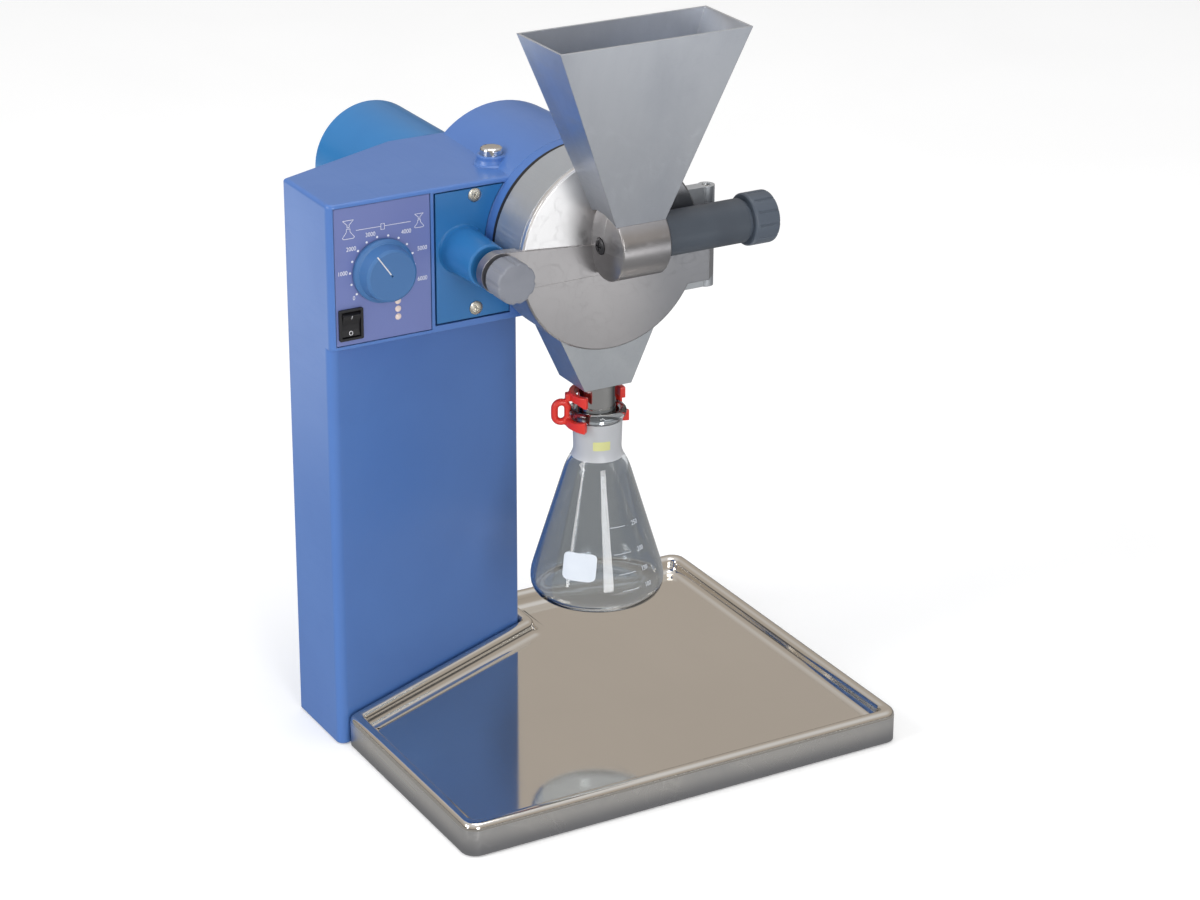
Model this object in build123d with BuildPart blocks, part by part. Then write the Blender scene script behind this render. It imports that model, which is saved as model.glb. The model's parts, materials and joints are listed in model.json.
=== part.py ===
from build123d import *
import os
from math import cos, radians, sin

os.makedirs("parts", exist_ok=True)

# Analytical lab mill. Millimetres, Z up, the front faces -Y, the origin is under the middle of the whole machine.

# heights
foot_height = 6
plate_top = 11
head_bottom = 271
head_top = 364
hopper_top = 469.5

# column and head, seen from above
left_x = -158
column_right_x = 8
head_right_x = 9
column_front_left = (-158, 12)
column_front_right = (8, 83)
back_y = 112
back_bend_x = -69
back_left_y = 74
head_front_y = 10
wall = 3
front_wall = 8.5

# mill, motor and clamp axes
mill_x = 9
mill_z = 322
motor_x = -40.5
motor_z = 323.5
motor_radius = 40
motor_back = 200
clamp_x = -68.5
clamp_z = 322
hinge_x = 83
hinge_y = -28
knuckle_radius = 5.4
fixed_knuckles = [(56.5, 285, 292), (62, 340, 351)]
feed_y = -55
feed_z = 334
boss_y = -51
boss_z = 332
boss_radius = 22.5
outlet_y = -22.5

# everything is moved back by this on saving, so that the origin is under the middle
centre_shift = -23.5

# grinding chamber and its door
chamber_radius = 62.5
chamber_bore = 55
chamber_front = -36
chamber_back = -3
cover_radius = 62.8
cover_front = -40
bar_front = -41.2
cover_back = -36.5

# cowl over the bearing
cowl_front = 10
cowl_front_radius = 61
cowl_back_radius = 58

# shafts and running fits
shaft_radius = 6
pin_radius = 3
motor_shaft_radius = 5
running_fit = 0.05

# belt drive
belt_front = 72
belt_back = 82
drive_pulley_radius = 16.2
driven_pulley_radius = 24.3
belt_clearance = 0.4
belt_thickness = 1.8

# controls
panel_left = -154.5
panel_right = -89.5
panel_bottom = 273
panel_top = 361.5
panel_face = 10.5
knob_x = -122.5
knob_z = 318
switch_x = -144.7
switch_z = 286.8
switch_tilt = 10
lamp_x = -112.5
lamp_heights = (285.9, 291, 296.1)
pin_x = -33
pin_y = 38

# tray
tray_left = -152
tray_right = 158
tray_front = -153
tray_back = 125
tray_top = 21.8
tray_floor = 12.5
rim_width = 8
sheet = 1


def level(z):
    return Plane.XY.offset(z)


def front(y):
    return Plane.XZ.offset(-y)


def side(x):
    return Plane.YZ.offset(x)


def rod_y(x, z, radius, y_front, y_back, mode=Mode.ADD):
    with BuildSketch(front(y_back)) as disc:
        with Locations((x, z)):
            Circle(radius)
    extrude(disc.sketch, amount=y_back - y_front, mode=mode)


def rod_x(y, z, radius, x_left, x_right, mode=Mode.ADD):
    with BuildSketch(side(x_left)) as disc:
        with Locations((y, z)):
            Circle(radius)
    extrude(disc.sketch, amount=x_right - x_left, mode=mode)


def rod_z(x, y, radius, z_low, z_high, mode=Mode.ADD):
    with BuildSketch(level(z_low)) as disc:
        with Locations((x, y)):
            Circle(radius)
    extrude(disc.sketch, amount=z_high - z_low, mode=mode)


def block(x0, x1, y0, y1, z0, z1, mode=Mode.ADD):
    with BuildSketch(level(z0)) as plan:
        with Locations(((x0 + x1) / 2, (y0 + y1) / 2)):
            Rectangle(x1 - x0, y1 - y0)
    extrude(plan.sketch, amount=z1 - z0, mode=mode)


def prism_z(outline, z0, z1, mode=Mode.ADD):
    with BuildSketch(level(z0)) as plan:
        with BuildLine():
            Polyline(*outline, close=True)
        make_face()
    extrude(plan.sketch, amount=z1 - z0, mode=mode)


def turned_y(x, z, profile, mode=Mode.ADD):
    """profile is a list of (y, radius)"""
    with BuildSketch(Plane((x, 0, z), x_dir=(0, 1, 0), z_dir=(1, 0, 0))) as half:
        with BuildLine():
            Polyline(*profile, close=True)
        make_face()
    revolve(half.sketch, axis=Axis((x, 0, z), (0, 1, 0)), mode=mode)


def turned_z(x, y, profile, mode=Mode.ADD):
    """profile is a list of (radius, z)"""
    with BuildSketch(Plane((x, y, 0), x_dir=(1, 0, 0), z_dir=(0, -1, 0))) as half:
        with BuildLine():
            Polyline(*profile, close=True)
        make_face()
    revolve(half.sketch, axis=Axis((x, y, 0), (0, 0, 1)), mode=mode)


def turned_x(y, z, profile, mode=Mode.ADD):
    """profile is a list of (x, radius)"""
    with BuildSketch(Plane((0, y, z), x_dir=(1, 0, 0), z_dir=(0, -1, 0))) as half:
        with BuildLine():
            Polyline(*profile, close=True)
        make_face()
    revolve(half.sketch, axis=Axis((0, y, z), (1, 0, 0)), mode=mode)


def save(piece, name):
    placed = Pos(0, centre_shift, 0) * piece.part
    placed.label = name
    export_step(placed, "parts/" + name + ".step")
    print(name, round(piece.part.volume), len(piece.part.solids()))


column_outline = [
    column_front_left,
    column_front_right,
    (column_right_x, back_y),
    (back_bend_x, back_y),
    (left_x, back_left_y),
]
head_outline = [
    (left_x, head_front_y),
    (head_right_x, head_front_y),
    (head_right_x, back_y),
    (back_bend_x, back_y),
    (left_x, back_left_y),
]
plate_outline = [(-144, -145), (150, -145), (150, 108), (-68, 108), (-144, 75.5)]
foot_places = [(-130, -131), (137, -131), (137, 94), (-128, 62), (-20, 94)]
base_screw_places = [(-138, 30), (-136, 74), (0, 99)]
rear_screw_places = [(-58, 64), (-2, 64), (-58, 246), (-2, 246)]
clamp_screw_places = [(-59, 355.5), (-59, 282)]

# ---------------------------------------------------------------- foot plate
with BuildPart() as base_plate:
    with BuildSketch(level(foot_height)):
        with BuildLine():
            Polyline(*plate_outline, close=True)
        make_face()
    extrude(amount=plate_top - foot_height)
    fillet(base_plate.edges().filter_by(Axis.Z), 6)
    for x, y in base_screw_places:
        rod_z(x, y, 3, foot_height, plate_top, Mode.SUBTRACT)
        rod_z(x, y, 5.5, foot_height, foot_height + 2.5, Mode.SUBTRACT)
save(base_plate, "base_plate")

with BuildPart() as rubber_feet:
    for x, y in foot_places:
        turned_z(x, y, [(0, 0), (7.5, 0), (9, 1.5), (9, foot_height), (0, foot_height)])
save(rubber_feet, "rubber_feet")

with BuildPart() as base_screws:
    for x, y in base_screw_places:
        rod_z(x, y, 5.3, foot_height + 0.2, foot_height + 2.5)
        rod_z(x, y, 2.9, foot_height + 2.5, 30)
        with BuildSketch(level(foot_height + 0.2)):
            with Locations((x, y)):
                RegularPolygon(2.4, 6)
        extrude(amount=1.4, mode=Mode.SUBTRACT)
save(base_screws, "base_screws")

# ------------------------------------------------- column, head and cowl, one hollow casting
with BuildPart() as drive_housing:
    with BuildSketch(level(1)):
        with BuildLine():
            Polyline(*column_outline, close=True)
        make_face()
    extrude(amount=head_bottom - 1)
    fillet(drive_housing.edges().filter_by(Axis.Z).sort_by(Axis.X)[:2].sort_by(Axis.Y)[0], 5)
    fillet(drive_housing.edges().filter_by(Axis.Z).sort_by(Axis.X)[-2:].sort_by(Axis.Y)[0], 4)
    with BuildSketch(level(head_bottom)) as head_plan:
        with BuildLine():
            Polyline(*head_outline, close=True)
        make_face()
        fillet(head_plan.vertices().sort_by(Axis.X)[:2].sort_by(Axis.Y)[0], 5)
    extrude(amount=head_top - head_bottom)
    fillet(drive_housing.faces().sort_by(Axis.Z)[-1].edges(), 2.5)
    # the round cowl draws in a little towards the back
    turned_y(
        mill_x,
        mill_z,
        [
            (cowl_front, 0),
            (cowl_front, cowl_front_radius - 0.8),
            (cowl_front + 0.8, cowl_front_radius),
            (back_y - 4, cowl_back_radius),
            (back_y, cowl_back_radius - 4),
            (back_y, 0),
        ],
    )
    turned_z(
        pin_x,
        pin_y,
        [(0, 360), (11.5, 360), (11.5, 364.6), (10.4, 365.4), (9.4, 367.6), (9.4, 369.8), (8.6, 370.6), (0, 370.6)],
    )
    # inside of the column, the head and the cowl
    with BuildSketch(level(1)) as column_inside:
        with BuildLine():
            Polyline(*column_outline, close=True)
        make_face()
        offset(amount=-wall, kind=Kind.INTERSECTION, mode=Mode.REPLACE)
    extrude(amount=head_bottom + 5, mode=Mode.SUBTRACT)
    prism_z(
        [
            (left_x + wall, head_front_y + front_wall),
            (head_right_x + 5, head_front_y + front_wall),
            (head_right_x + 5, back_y - wall),
            (back_bend_x + 1, back_y - wall),
            (left_x + wall, back_left_y - 2),
        ],
        head_bottom + wall,
        head_top - wall,
        Mode.SUBTRACT,
    )
    turned_y(
        mill_x,
        mill_z,
        [
            (head_front_y + front_wall, 0),
            (head_front_y + front_wall, cowl_front_radius - 4),
            (back_y - wall, cowl_back_radius - 4),
            (back_y - wall, 0),
        ],
        Mode.SUBTRACT,
    )
    # guide cup of the press pin hangs under the lid
    rod_z(pin_x, pin_y, 12.5, 335.5, head_top - wall)
    rod_z(pin_x, pin_y, 10, 338, 358, Mode.SUBTRACT)
    rod_z(pin_x, pin_y, 7.3, 357, head_top + 20, Mode.SUBTRACT)
    # screw bosses stand on the foot plate
    for x, y in base_screw_places:
        rod_z(x, y, 6, plate_top, 44)
        rod_z(x, y, 2.9, plate_top, 30.5, Mode.SUBTRACT)
    # the foot plate runs in under the front and right walls
    prism_z(plate_outline, 0, plate_top, Mode.SUBTRACT)
    # recesses of the control panel and of the clamp plate
    block(panel_left, panel_right, 0, panel_face + 2.5, panel_bottom, panel_top, Mode.SUBTRACT)
    with BuildSketch(front(15.5)) as clamp_recess:
        with Locations((-61.5, 318)):
            Rectangle(52, 86)
        with Locations((mill_x, mill_z)):
            Circle(cowl_front_radius + 0.2, mode=Mode.SUBTRACT)
    extrude(amount=20, mode=Mode.SUBTRACT)
    rod_y(mill_x, mill_z, 24, 0, 30, Mode.SUBTRACT)
    rod_y(motor_x, motor_z, 17, 95, 120, Mode.SUBTRACT)
    rod_y(knob_x, knob_z, 8, 5, 30, Mode.SUBTRACT)
    block(switch_x - 7.2, switch_x + 7.2, 5, 30, switch_z - 9, switch_z + 9, Mode.SUBTRACT)
    block(-116, -100, 5, 30, 282, 300, Mode.SUBTRACT)
    for x, z in clamp_screw_places:
        rod_y(x, z, 2.1, 12, 22, Mode.SUBTRACT)
    for x, z in rear_screw_places:
        rod_y(x, z, 1.8, back_y - wall - 1, back_y + 1, Mode.SUBTRACT)
    # opening behind the rear panel
    block(-56, -4, 100, 120, 66, 244, Mode.SUBTRACT)
save(drive_housing, "drive_housing")

# --------------------------------------------------------------- rear panel
with BuildPart() as rear_panel:
    with BuildSketch(front(back_y + 1.5)):
        with Locations((-30, 155)):
            RectangleRounded(66, 192, 4)
        with Locations((-30, 92)):
            Rectangle(27.4, 19.8, mode=Mode.SUBTRACT)
        with Locations((-30, 195)):
            with GridLocations(0, 7, 1, 9):
                SlotOverall(40, 3, mode=Mode.SUBTRACT)
        for x, z in rear_screw_places:
            with Locations((x, z)):
                Circle(1.8, mode=Mode.SUBTRACT)
    extrude(amount=1.5)
save(rear_panel, "rear_panel")

with BuildPart() as rear_panel_screws:
    for x, z in rear_screw_places:
        rod_y(x, z, 1.8, back_y - 2, back_y + 1.5)
        turned_y(x, z, [(back_y + 1.5, 0), (back_y + 1.5, 3.4), (back_y + 2.6, 3), (back_y + 3.3, 1.6), (back_y + 3.5, 0)])
        with BuildSketch(front(back_y + 4)):
            with Locations((x, z)):
                Rectangle(4, 0.8)
                Rectangle(0.8, 4)
        extrude(amount=1.4, mode=Mode.SUBTRACT)
save(rear_panel_screws, "rear_panel_screws")

with BuildPart() as power_inlet:
    with BuildSketch(front(back_y + 3.5)):
        with Locations((-30, 92)):
            RectangleRounded(31, 24, 2.5)
    extrude(amount=2)
    with BuildSketch(front(back_y + 1.5)):
        with Locations((-30, 92)):
            Rectangle(27.2, 19.6)
    extrude(amount=22)
    with BuildSketch(front(back_y + 3.5)) as mouth:
        with Locations((-30, 92)):
            Rectangle(24, 16.4)
        chamfer(mouth.vertices().group_by(Axis.Y)[0], 4)
    extrude(amount=17, mode=Mode.SUBTRACT)
    with BuildSketch(front(back_y - 13.5)):
        with Locations((-37, 90), (-23, 90), (-30, 94)):
            Rectangle(2, 4)
    extrude(amount=-13)
save(power_inlet, "power_inlet")

# ------------------------------------------------------------ control panel
with BuildPart() as control_panel:
    with BuildSketch(front(panel_face + 2.5)):
        with Locations(((panel_left + panel_right) / 2, (panel_bottom + panel_top) / 2)):
            Rectangle(panel_right - panel_left - 0.8, panel_top - panel_bottom - 0.8)
        with Locations((knob_x, knob_z)):
            Circle(3.5, mode=Mode.SUBTRACT)
        with Locations((switch_x, switch_z)):
            Rectangle(14, 17.8, mode=Mode.SUBTRACT)
        for z in lamp_heights:
            with Locations((lamp_x, z)):
                Circle(2, mode=Mode.SUBTRACT)
    extrude(amount=2.5)
save(control_panel, "control_panel")

with BuildPart() as speed_potentiometer:
    rod_y(knob_x, knob_z, 7.5, panel_face + 2.5, 36)
    rod_y(knob_x, knob_z, pin_radius + running_fit, panel_face, 32, Mode.SUBTRACT)
save(speed_potentiometer, "speed_potentiometer")

with BuildPart() as control_board:
    block(-150, -96, 37, 38.6, 277, 352)
    block(-118, -100, 38.6, 46, 300, 314)
    rod_y(-140, 330, 6, 38.6, 58)
save(control_board, "control_board")

with BuildPart() as indicator_lamps:
    for z in lamp_heights:
        rod_y(lamp_x, z, 2, panel_face - 0.2, 20)
        turned_y(lamp_x, z, [(panel_face - 0.9, 0), (panel_face - 0.7, 1.1), (panel_face - 0.2, 1.9), (panel_face - 0.2, 0)])
save(indicator_lamps, "indicator_lamps")

with BuildPart() as switch_body:
    with BuildSketch(front(panel_face)):
        with Locations((switch_x, switch_z)):
            RectangleRounded(16, 20, 1)
    extrude(amount=1.8)
    with BuildSketch(front(30)):
        with Locations((switch_x, switch_z)):
            Rectangle(13.8, 17.6)
    extrude(amount=30 - panel_face)
    with BuildSketch(front(22)):
        with Locations((switch_x, switch_z)):
            Rectangle(12.6, 17.0)
    extrude(amount=20, mode=Mode.SUBTRACT)
save(switch_body, "switch_body")

with BuildPart() as switch_rocker:
    tilt = radians(switch_tilt)
    rocker_plane = Plane(
        (switch_x - 5.9, 12, switch_z),
        x_dir=(0, cos(tilt), sin(tilt)),
        z_dir=(1, 0, 0),
    )
    with BuildSketch(rocker_plane):
        with BuildLine():
            Polyline(
                (-3.6, 7.2), (-2.4, 3.4), (-2.0, 0), (-2.4, -3.4), (-3.6, -7.2),
                (1, -7.9), (4.6, -6.2), (4.6, 6.2), (1, 7.9), close=True,
            )
        make_face()
    extrude(amount=11.8)
save(switch_rocker, "switch_rocker")

with BuildPart() as speed_knob:
    turned_y(
        knob_x,
        knob_z,
        [
            (panel_face - 0.6, 0), (panel_face - 0.6, 20.2), (panel_face - 3.2, 20.2),
            (panel_face - 4.4, 19), (panel_face - 5, 17.9), (panel_face - 13.2, 16.6),
            (panel_face - 14.4, 15.2), (panel_face - 14.4, 0),
        ],
    )
    rod_y(knob_x, knob_z, pin_radius, panel_face - 1, 31)
    with BuildSketch(front(panel_face - 13.4)):
        with Locations((knob_x + 8.4 * cos(radians(125)), knob_z + 8.4 * sin(radians(125)))):
            Rectangle(17.5, 0.9, rotation=125)
    extrude(amount=3, mode=Mode.SUBTRACT)
save(speed_knob, "speed_knob")

# --------------------------------------------------------------- clamp plate
with BuildPart() as clamp_plate:
    with BuildSketch(front(15.5)):
        with Locations((-61, 318)):
            Rectangle(50, 84)
        with Locations((mill_x, mill_z)):
            Circle(cowl_front_radius + 0.6, mode=Mode.SUBTRACT)
        with Locations(*clamp_screw_places):
            Circle(2.2, mode=Mode.SUBTRACT)
    extrude(amount=5)
    turned_y(
        clamp_x,
        clamp_z,
        [(10.5, 0), (10.5, 16), (9.2, 15.4), (7.5, 15), (-25, 13.7), (-26, 12.7), (-26, 0)],
    )
    rod_y(clamp_x, clamp_z, 5.5, -30, -12, Mode.SUBTRACT)
    for x, z in clamp_screw_places:
        turned_y(x, z, [(10.4, 0), (10.4, 4.8), (12.9, 2.2), (12.9, 0)], Mode.SUBTRACT)
save(clamp_plate, "clamp_plate")

with BuildPart() as clamp_plate_screws:
    for x, z in clamp_screw_places:
        turned_y(x, z, [(10.3, 0), (10.3, 4.5), (12.7, 2.1), (18, 2.1), (18, 0)])
        with BuildSketch(front(11.8)):
            with Locations((x, z)):
                Rectangle(4.6, 0.9, rotation=45)
                Rectangle(0.9, 4.6, rotation=45)
        extrude(amount=3, mode=Mode.SUBTRACT)
save(clamp_plate_screws, "clamp_plate_screws")

# ----------------------------------------------------------- motor behind the head
with BuildPart() as motor_cover:
    turned_y(
        motor_x,
        motor_z,
        [
            (80, 0), (80, motor_radius), (motor_back - 1.5, motor_radius), (motor_back, motor_radius - 1.5),
            (motor_back, 0),
        ],
    )
    rod_y(motor_x, motor_z, motor_radius - 2.5, 70, motor_back - 2.5, Mode.SUBTRACT)
    prism_z(head_outline, 270, 400, Mode.SUBTRACT)
    with BuildSketch(front(motor_back + 7)):
        with Locations((motor_x, motor_z)):
            with PolarLocations(20, 12):
                SlotOverall(14, 3)
    extrude(amount=12, mode=Mode.SUBTRACT)
save(motor_cover, "motor_cover")

with BuildPart() as motor_bracket:
    rod_y(motor_x, motor_z, 34, back_y, 115)
    rod_y(motor_x, motor_z, 16.9, 104, back_y)
    rod_y(motor_x, motor_z, motor_shaft_radius + running_fit, 100, 116, Mode.SUBTRACT)
save(motor_bracket, "motor_bracket")

with BuildPart() as motor_stator:
    rod_y(motor_x, motor_z, 34, 122, 158)
    rod_y(motor_x, motor_z, 15, 110, 170, Mode.SUBTRACT)
    for y0, y1 in [(115, 122), (158, 165)]:
        rod_y(motor_x, motor_z, 30, y0, y1)
        rod_y(motor_x, motor_z, 18, y0 - 1, y1 + 1, Mode.SUBTRACT)
save(motor_stator, "motor_stator")

with BuildPart() as motor_shaft:
    turned_y(
        motor_x,
        motor_z,
        [(66, 0), (66, 5), (122, 5), (122, 14.3), (158, 14.3), (158, 5), (190, 5), (190, 0)],
    )
save(motor_shaft, "motor_shaft")

with BuildPart() as cooling_fan:
    rod_y(motor_x, motor_z, 31, 178, 179.4)
    rod_y(motor_x, motor_z, 9, 179.4, 190)
    with BuildSketch(front(189)):
        with Locations((motor_x, motor_z)):
            with PolarLocations(19.5, 8):
                Rectangle(22, 1.4)
    extrude(amount=10)
    rod_y(motor_x, motor_z, motor_shaft_radius, 170, 200, Mode.SUBTRACT)
save(cooling_fan, "cooling_fan")

# ------------------------------------------------------------- toothed belt drive
def pulley(x, z, radius, bore, teeth):
    rod_y(x, z, radius, belt_front, belt_back)
    rod_y(x, z, radius + 2.3, belt_front - 1.2, belt_front)
    rod_y(x, z, radius + 2.3, belt_back, belt_back + 1.2)
    rod_y(x, z, bore + 5, belt_front - 7, belt_front)
    rod_y(x, z, bore, belt_front - 20, belt_back + 20, Mode.SUBTRACT)


with BuildPart() as drive_pulley:
    pulley(motor_x, motor_z, drive_pulley_radius, motor_shaft_radius, 20)
save(drive_pulley, "drive_pulley")

with BuildPart() as driven_pulley:
    pulley(mill_x, mill_z, driven_pulley_radius, shaft_radius, 30)
save(driven_pulley, "driven_pulley")

with BuildPart() as drive_belt:
    with BuildSketch(front(belt_back - 0.4)) as belt_outside:
        with Locations((motor_x, motor_z)):
            Circle(drive_pulley_radius + belt_clearance + belt_thickness)
        with Locations((mill_x, mill_z)):
            Circle(driven_pulley_radius + belt_clearance + belt_thickness)
        make_hull()
    extrude(amount=belt_back - belt_front - 0.8)
    with BuildSketch(front(belt_back)) as belt_inside:
        with Locations((motor_x, motor_z)):
            Circle(drive_pulley_radius + belt_clearance)
        with Locations((mill_x, mill_z)):
            Circle(driven_pulley_radius + belt_clearance)
        make_hull()
    extrude(amount=belt_back - belt_front, mode=Mode.SUBTRACT)
save(drive_belt, "drive_belt")

# --------------------------------------------------------- bearing housing and shaft
with BuildPart() as bearing_housing:
    turned_y(
        mill_x,
        mill_z,
        [
            (chamber_back, 12), (chamber_back, 56), (3, 56), (4, 52), (cowl_front, 52),
            (cowl_front, 24), (62, 24), (62, 16), (50, 16), (50, 9), (26, 9), (26, 16),
            (16, 16), (16, 8), (5, 8), (5, 12),
        ],
    )
    with BuildSketch(front(5)):
        with Locations((mill_x, mill_z)):
            with PolarLocations(46, 4, start_angle=45):
                Circle(2.5)
    extrude(amount=10, mode=Mode.SUBTRACT)
save(bearing_housing, "bearing_housing")

with BuildPart() as spacer_ring:
    rod_y(mill_x, mill_z, cowl_front_radius - 0.2, chamber_back, cowl_front)
    rod_y(mill_x, mill_z, 56, -10, 20, Mode.SUBTRACT)
save(spacer_ring, "spacer_ring")

for name, y in [("front_bearing", 16), ("rear_bearing", 50)]:
    with BuildPart() as ball_bearing:
        turned_y(
            mill_x,
            mill_z,
            [
                (y, shaft_radius + running_fit), (y, 9), (y + 0.8, 9), (y + 0.8, 13), (y, 13), (y, 16),
                (y + 10, 16), (y + 10, 13), (y + 9.2, 13), (y + 9.2, 9), (y + 10, 9),
                (y + 10, shaft_radius + running_fit),
            ],
        )
    save(ball_bearing, name)

with BuildPart() as shaft_seal:
    turned_y(
        mill_x,
        mill_z,
        [(-2, shaft_radius + running_fit), (-2, 12), (5, 12), (5, 10), (0, 10), (0, shaft_radius + running_fit)],
    )
save(shaft_seal, "shaft_seal")

with BuildPart() as mill_shaft:
    turned_y(
        mill_x,
        mill_z,
        [(-33, 0), (-33, 3.5), (-32.5, 4), (-28, 4), (-28, shaft_radius), (86, shaft_radius), (86, 0)],
    )
save(mill_shaft, "mill_shaft")

with BuildPart() as beater_rotor:
    rod_y(mill_x, mill_z, 12, -28, -10)
    rod_y(mill_x, mill_z, 38, -17, -13)
    with BuildSketch(front(-13)):
        with Locations((mill_x, mill_z)):
            with PolarLocations(41.5, 6):
                Rectangle(15, 9)
    extrude(amount=16)
    rod_y(mill_x, mill_z, shaft_radius, -28, 0, Mode.SUBTRACT)
    rod_y(mill_x, mill_z, 4, -40, 0, Mode.SUBTRACT)
save(beater_rotor, "beater_rotor")

with BuildPart() as rotor_nut:
    with BuildSketch(front(-28)):
        with Locations((mill_x, mill_z)):
            RegularPolygon(7.5, 6)
            Circle(4, mode=Mode.SUBTRACT)
    extrude(amount=3.8)
save(rotor_nut, "rotor_nut")

# ------------------------------------------------------------- grinding chamber
with BuildPart() as grinding_chamber:
    rod_y(mill_x, mill_z, chamber_radius, chamber_front, chamber_back)
    chamfer(grinding_chamber.edges().filter_by(GeomType.CIRCLE), 0.8)
    with BuildSketch(front(chamber_back)):
        with BuildLine():
            Polyline(
                (mill_x - 33.7, 268.6), (mill_x - 16.6, 232), (mill_x + 16.6, 232),
                (mill_x + 33.7, 268.6), (mill_x, 300), close=True,
            )
        make_face()
    extrude(amount=chamber_back - chamber_front)
    rod_y(mill_x, mill_z, chamber_bore, -50, -8, Mode.SUBTRACT)
    rod_y(mill_x, mill_z, 8, -20, 0, Mode.SUBTRACT)
    with BuildSketch(front(-8)):
        with BuildLine():
            Polyline(
                (mill_x - 27.5, 271), (mill_x - 12.2, 236), (mill_x + 12.2, 236),
                (mill_x + 27.5, 271), (mill_x, 290), close=True,
            )
        make_face()
    extrude(amount=24, mode=Mode.SUBTRACT)
    rod_z(mill_x, outlet_y, 11.5, 230, 240, Mode.SUBTRACT)
    with BuildSketch(front(0)):
        with Locations((mill_x, mill_z)):
            with PolarLocations(46, 4, start_angle=45):
                Circle(2.5)
    extrude(amount=10, mode=Mode.SUBTRACT)
    # fixed knuckles of the door hinge
    for x, z0, z1 in fixed_knuckles:
        block(x, hinge_x, hinge_y - 4, hinge_y + 4, z0, z1)
        rod_z(hinge_x, hinge_y, knuckle_radius, z0, z1)
    rod_z(hinge_x, hinge_y, pin_radius, 280, 360, Mode.SUBTRACT)
save(grinding_chamber, "grinding_chamber")

with BuildPart() as chamber_screws:
    with BuildSketch(front(5)):
        with Locations((mill_x, mill_z)):
            with PolarLocations(46, 4, start_angle=45):
                Circle(2.5)
    extrude(amount=13)
    with BuildSketch(front(-8)):
        with Locations((mill_x, mill_z)):
            with PolarLocations(46, 4, start_angle=45):
                Circle(4)
                RegularPolygon(2.2, 6, mode=Mode.SUBTRACT)
    extrude(amount=3.4)
save(chamber_screws, "chamber_screws")

with BuildPart() as sieve_ring:
    rod_y(mill_x, mill_z, chamber_bore, -33, -9)
    rod_y(mill_x, mill_z, chamber_bore - 2, -40, 0, Mode.SUBTRACT)
    for step in range(7):
        turn = radians(246 + 8 * step)
        with BuildSketch(Plane((mill_x, -21, mill_z), x_dir=(0, 1, 0), z_dir=(cos(turn), 0, sin(turn)))):
            SlotOverall(18, 3.2)
        extrude(amount=60, mode=Mode.SUBTRACT)
save(sieve_ring, "sieve_ring")

with BuildPart() as outlet_tube:
    turned_z(
        mill_x,
        outlet_y,
        [(10, 182), (10, 236), (11.5, 236), (11.5, 213), (13.6, 213), (14.1, 212), (12.6, 182)],
    )
save(outlet_tube, "outlet_tube")

with BuildPart() as hinge_pin:
    rod_z(hinge_x, hinge_y, pin_radius, 284.4, 350.2)
    with BuildSketch(level(349.2)):
        with Locations((hinge_x, hinge_y)):
            Rectangle(10, 1, rotation=30)
    extrude(amount=2, mode=Mode.SUBTRACT)
save(hinge_pin, "hinge_pin")

# ------------------------------------------------------- sprung press pin on the head
with BuildPart() as lock_pin:
    turned_z(
        pin_x,
        pin_y,
        [
            (0, 342.5), (3.2, 342.5), (3.5, 343), (3.5, 354.2), (9.6, 354.2), (9.6, 357.6),
            (7.2, 357.6), (7.2, 373.6), (6.8, 374.4), (5.8, 375), (4, 375.3), (0, 375.4),
        ],
    )
save(lock_pin, "lock_pin")

with BuildPart() as lock_pin_spring:
    with BuildLine(Plane((pin_x, pin_y, 338.9))) as coil_line:
        Helix(pitch=14.2 / 4, height=14.2, radius=6.2)
    with BuildSketch(Plane(origin=coil_line.line @ 0, x_dir=(1, 0, 0), z_dir=coil_line.line % 0)):
        Rectangle(1.4, 1.3)
    sweep(path=coil_line.line, is_frenet=True)
save(lock_pin_spring, "lock_pin_spring")

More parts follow.
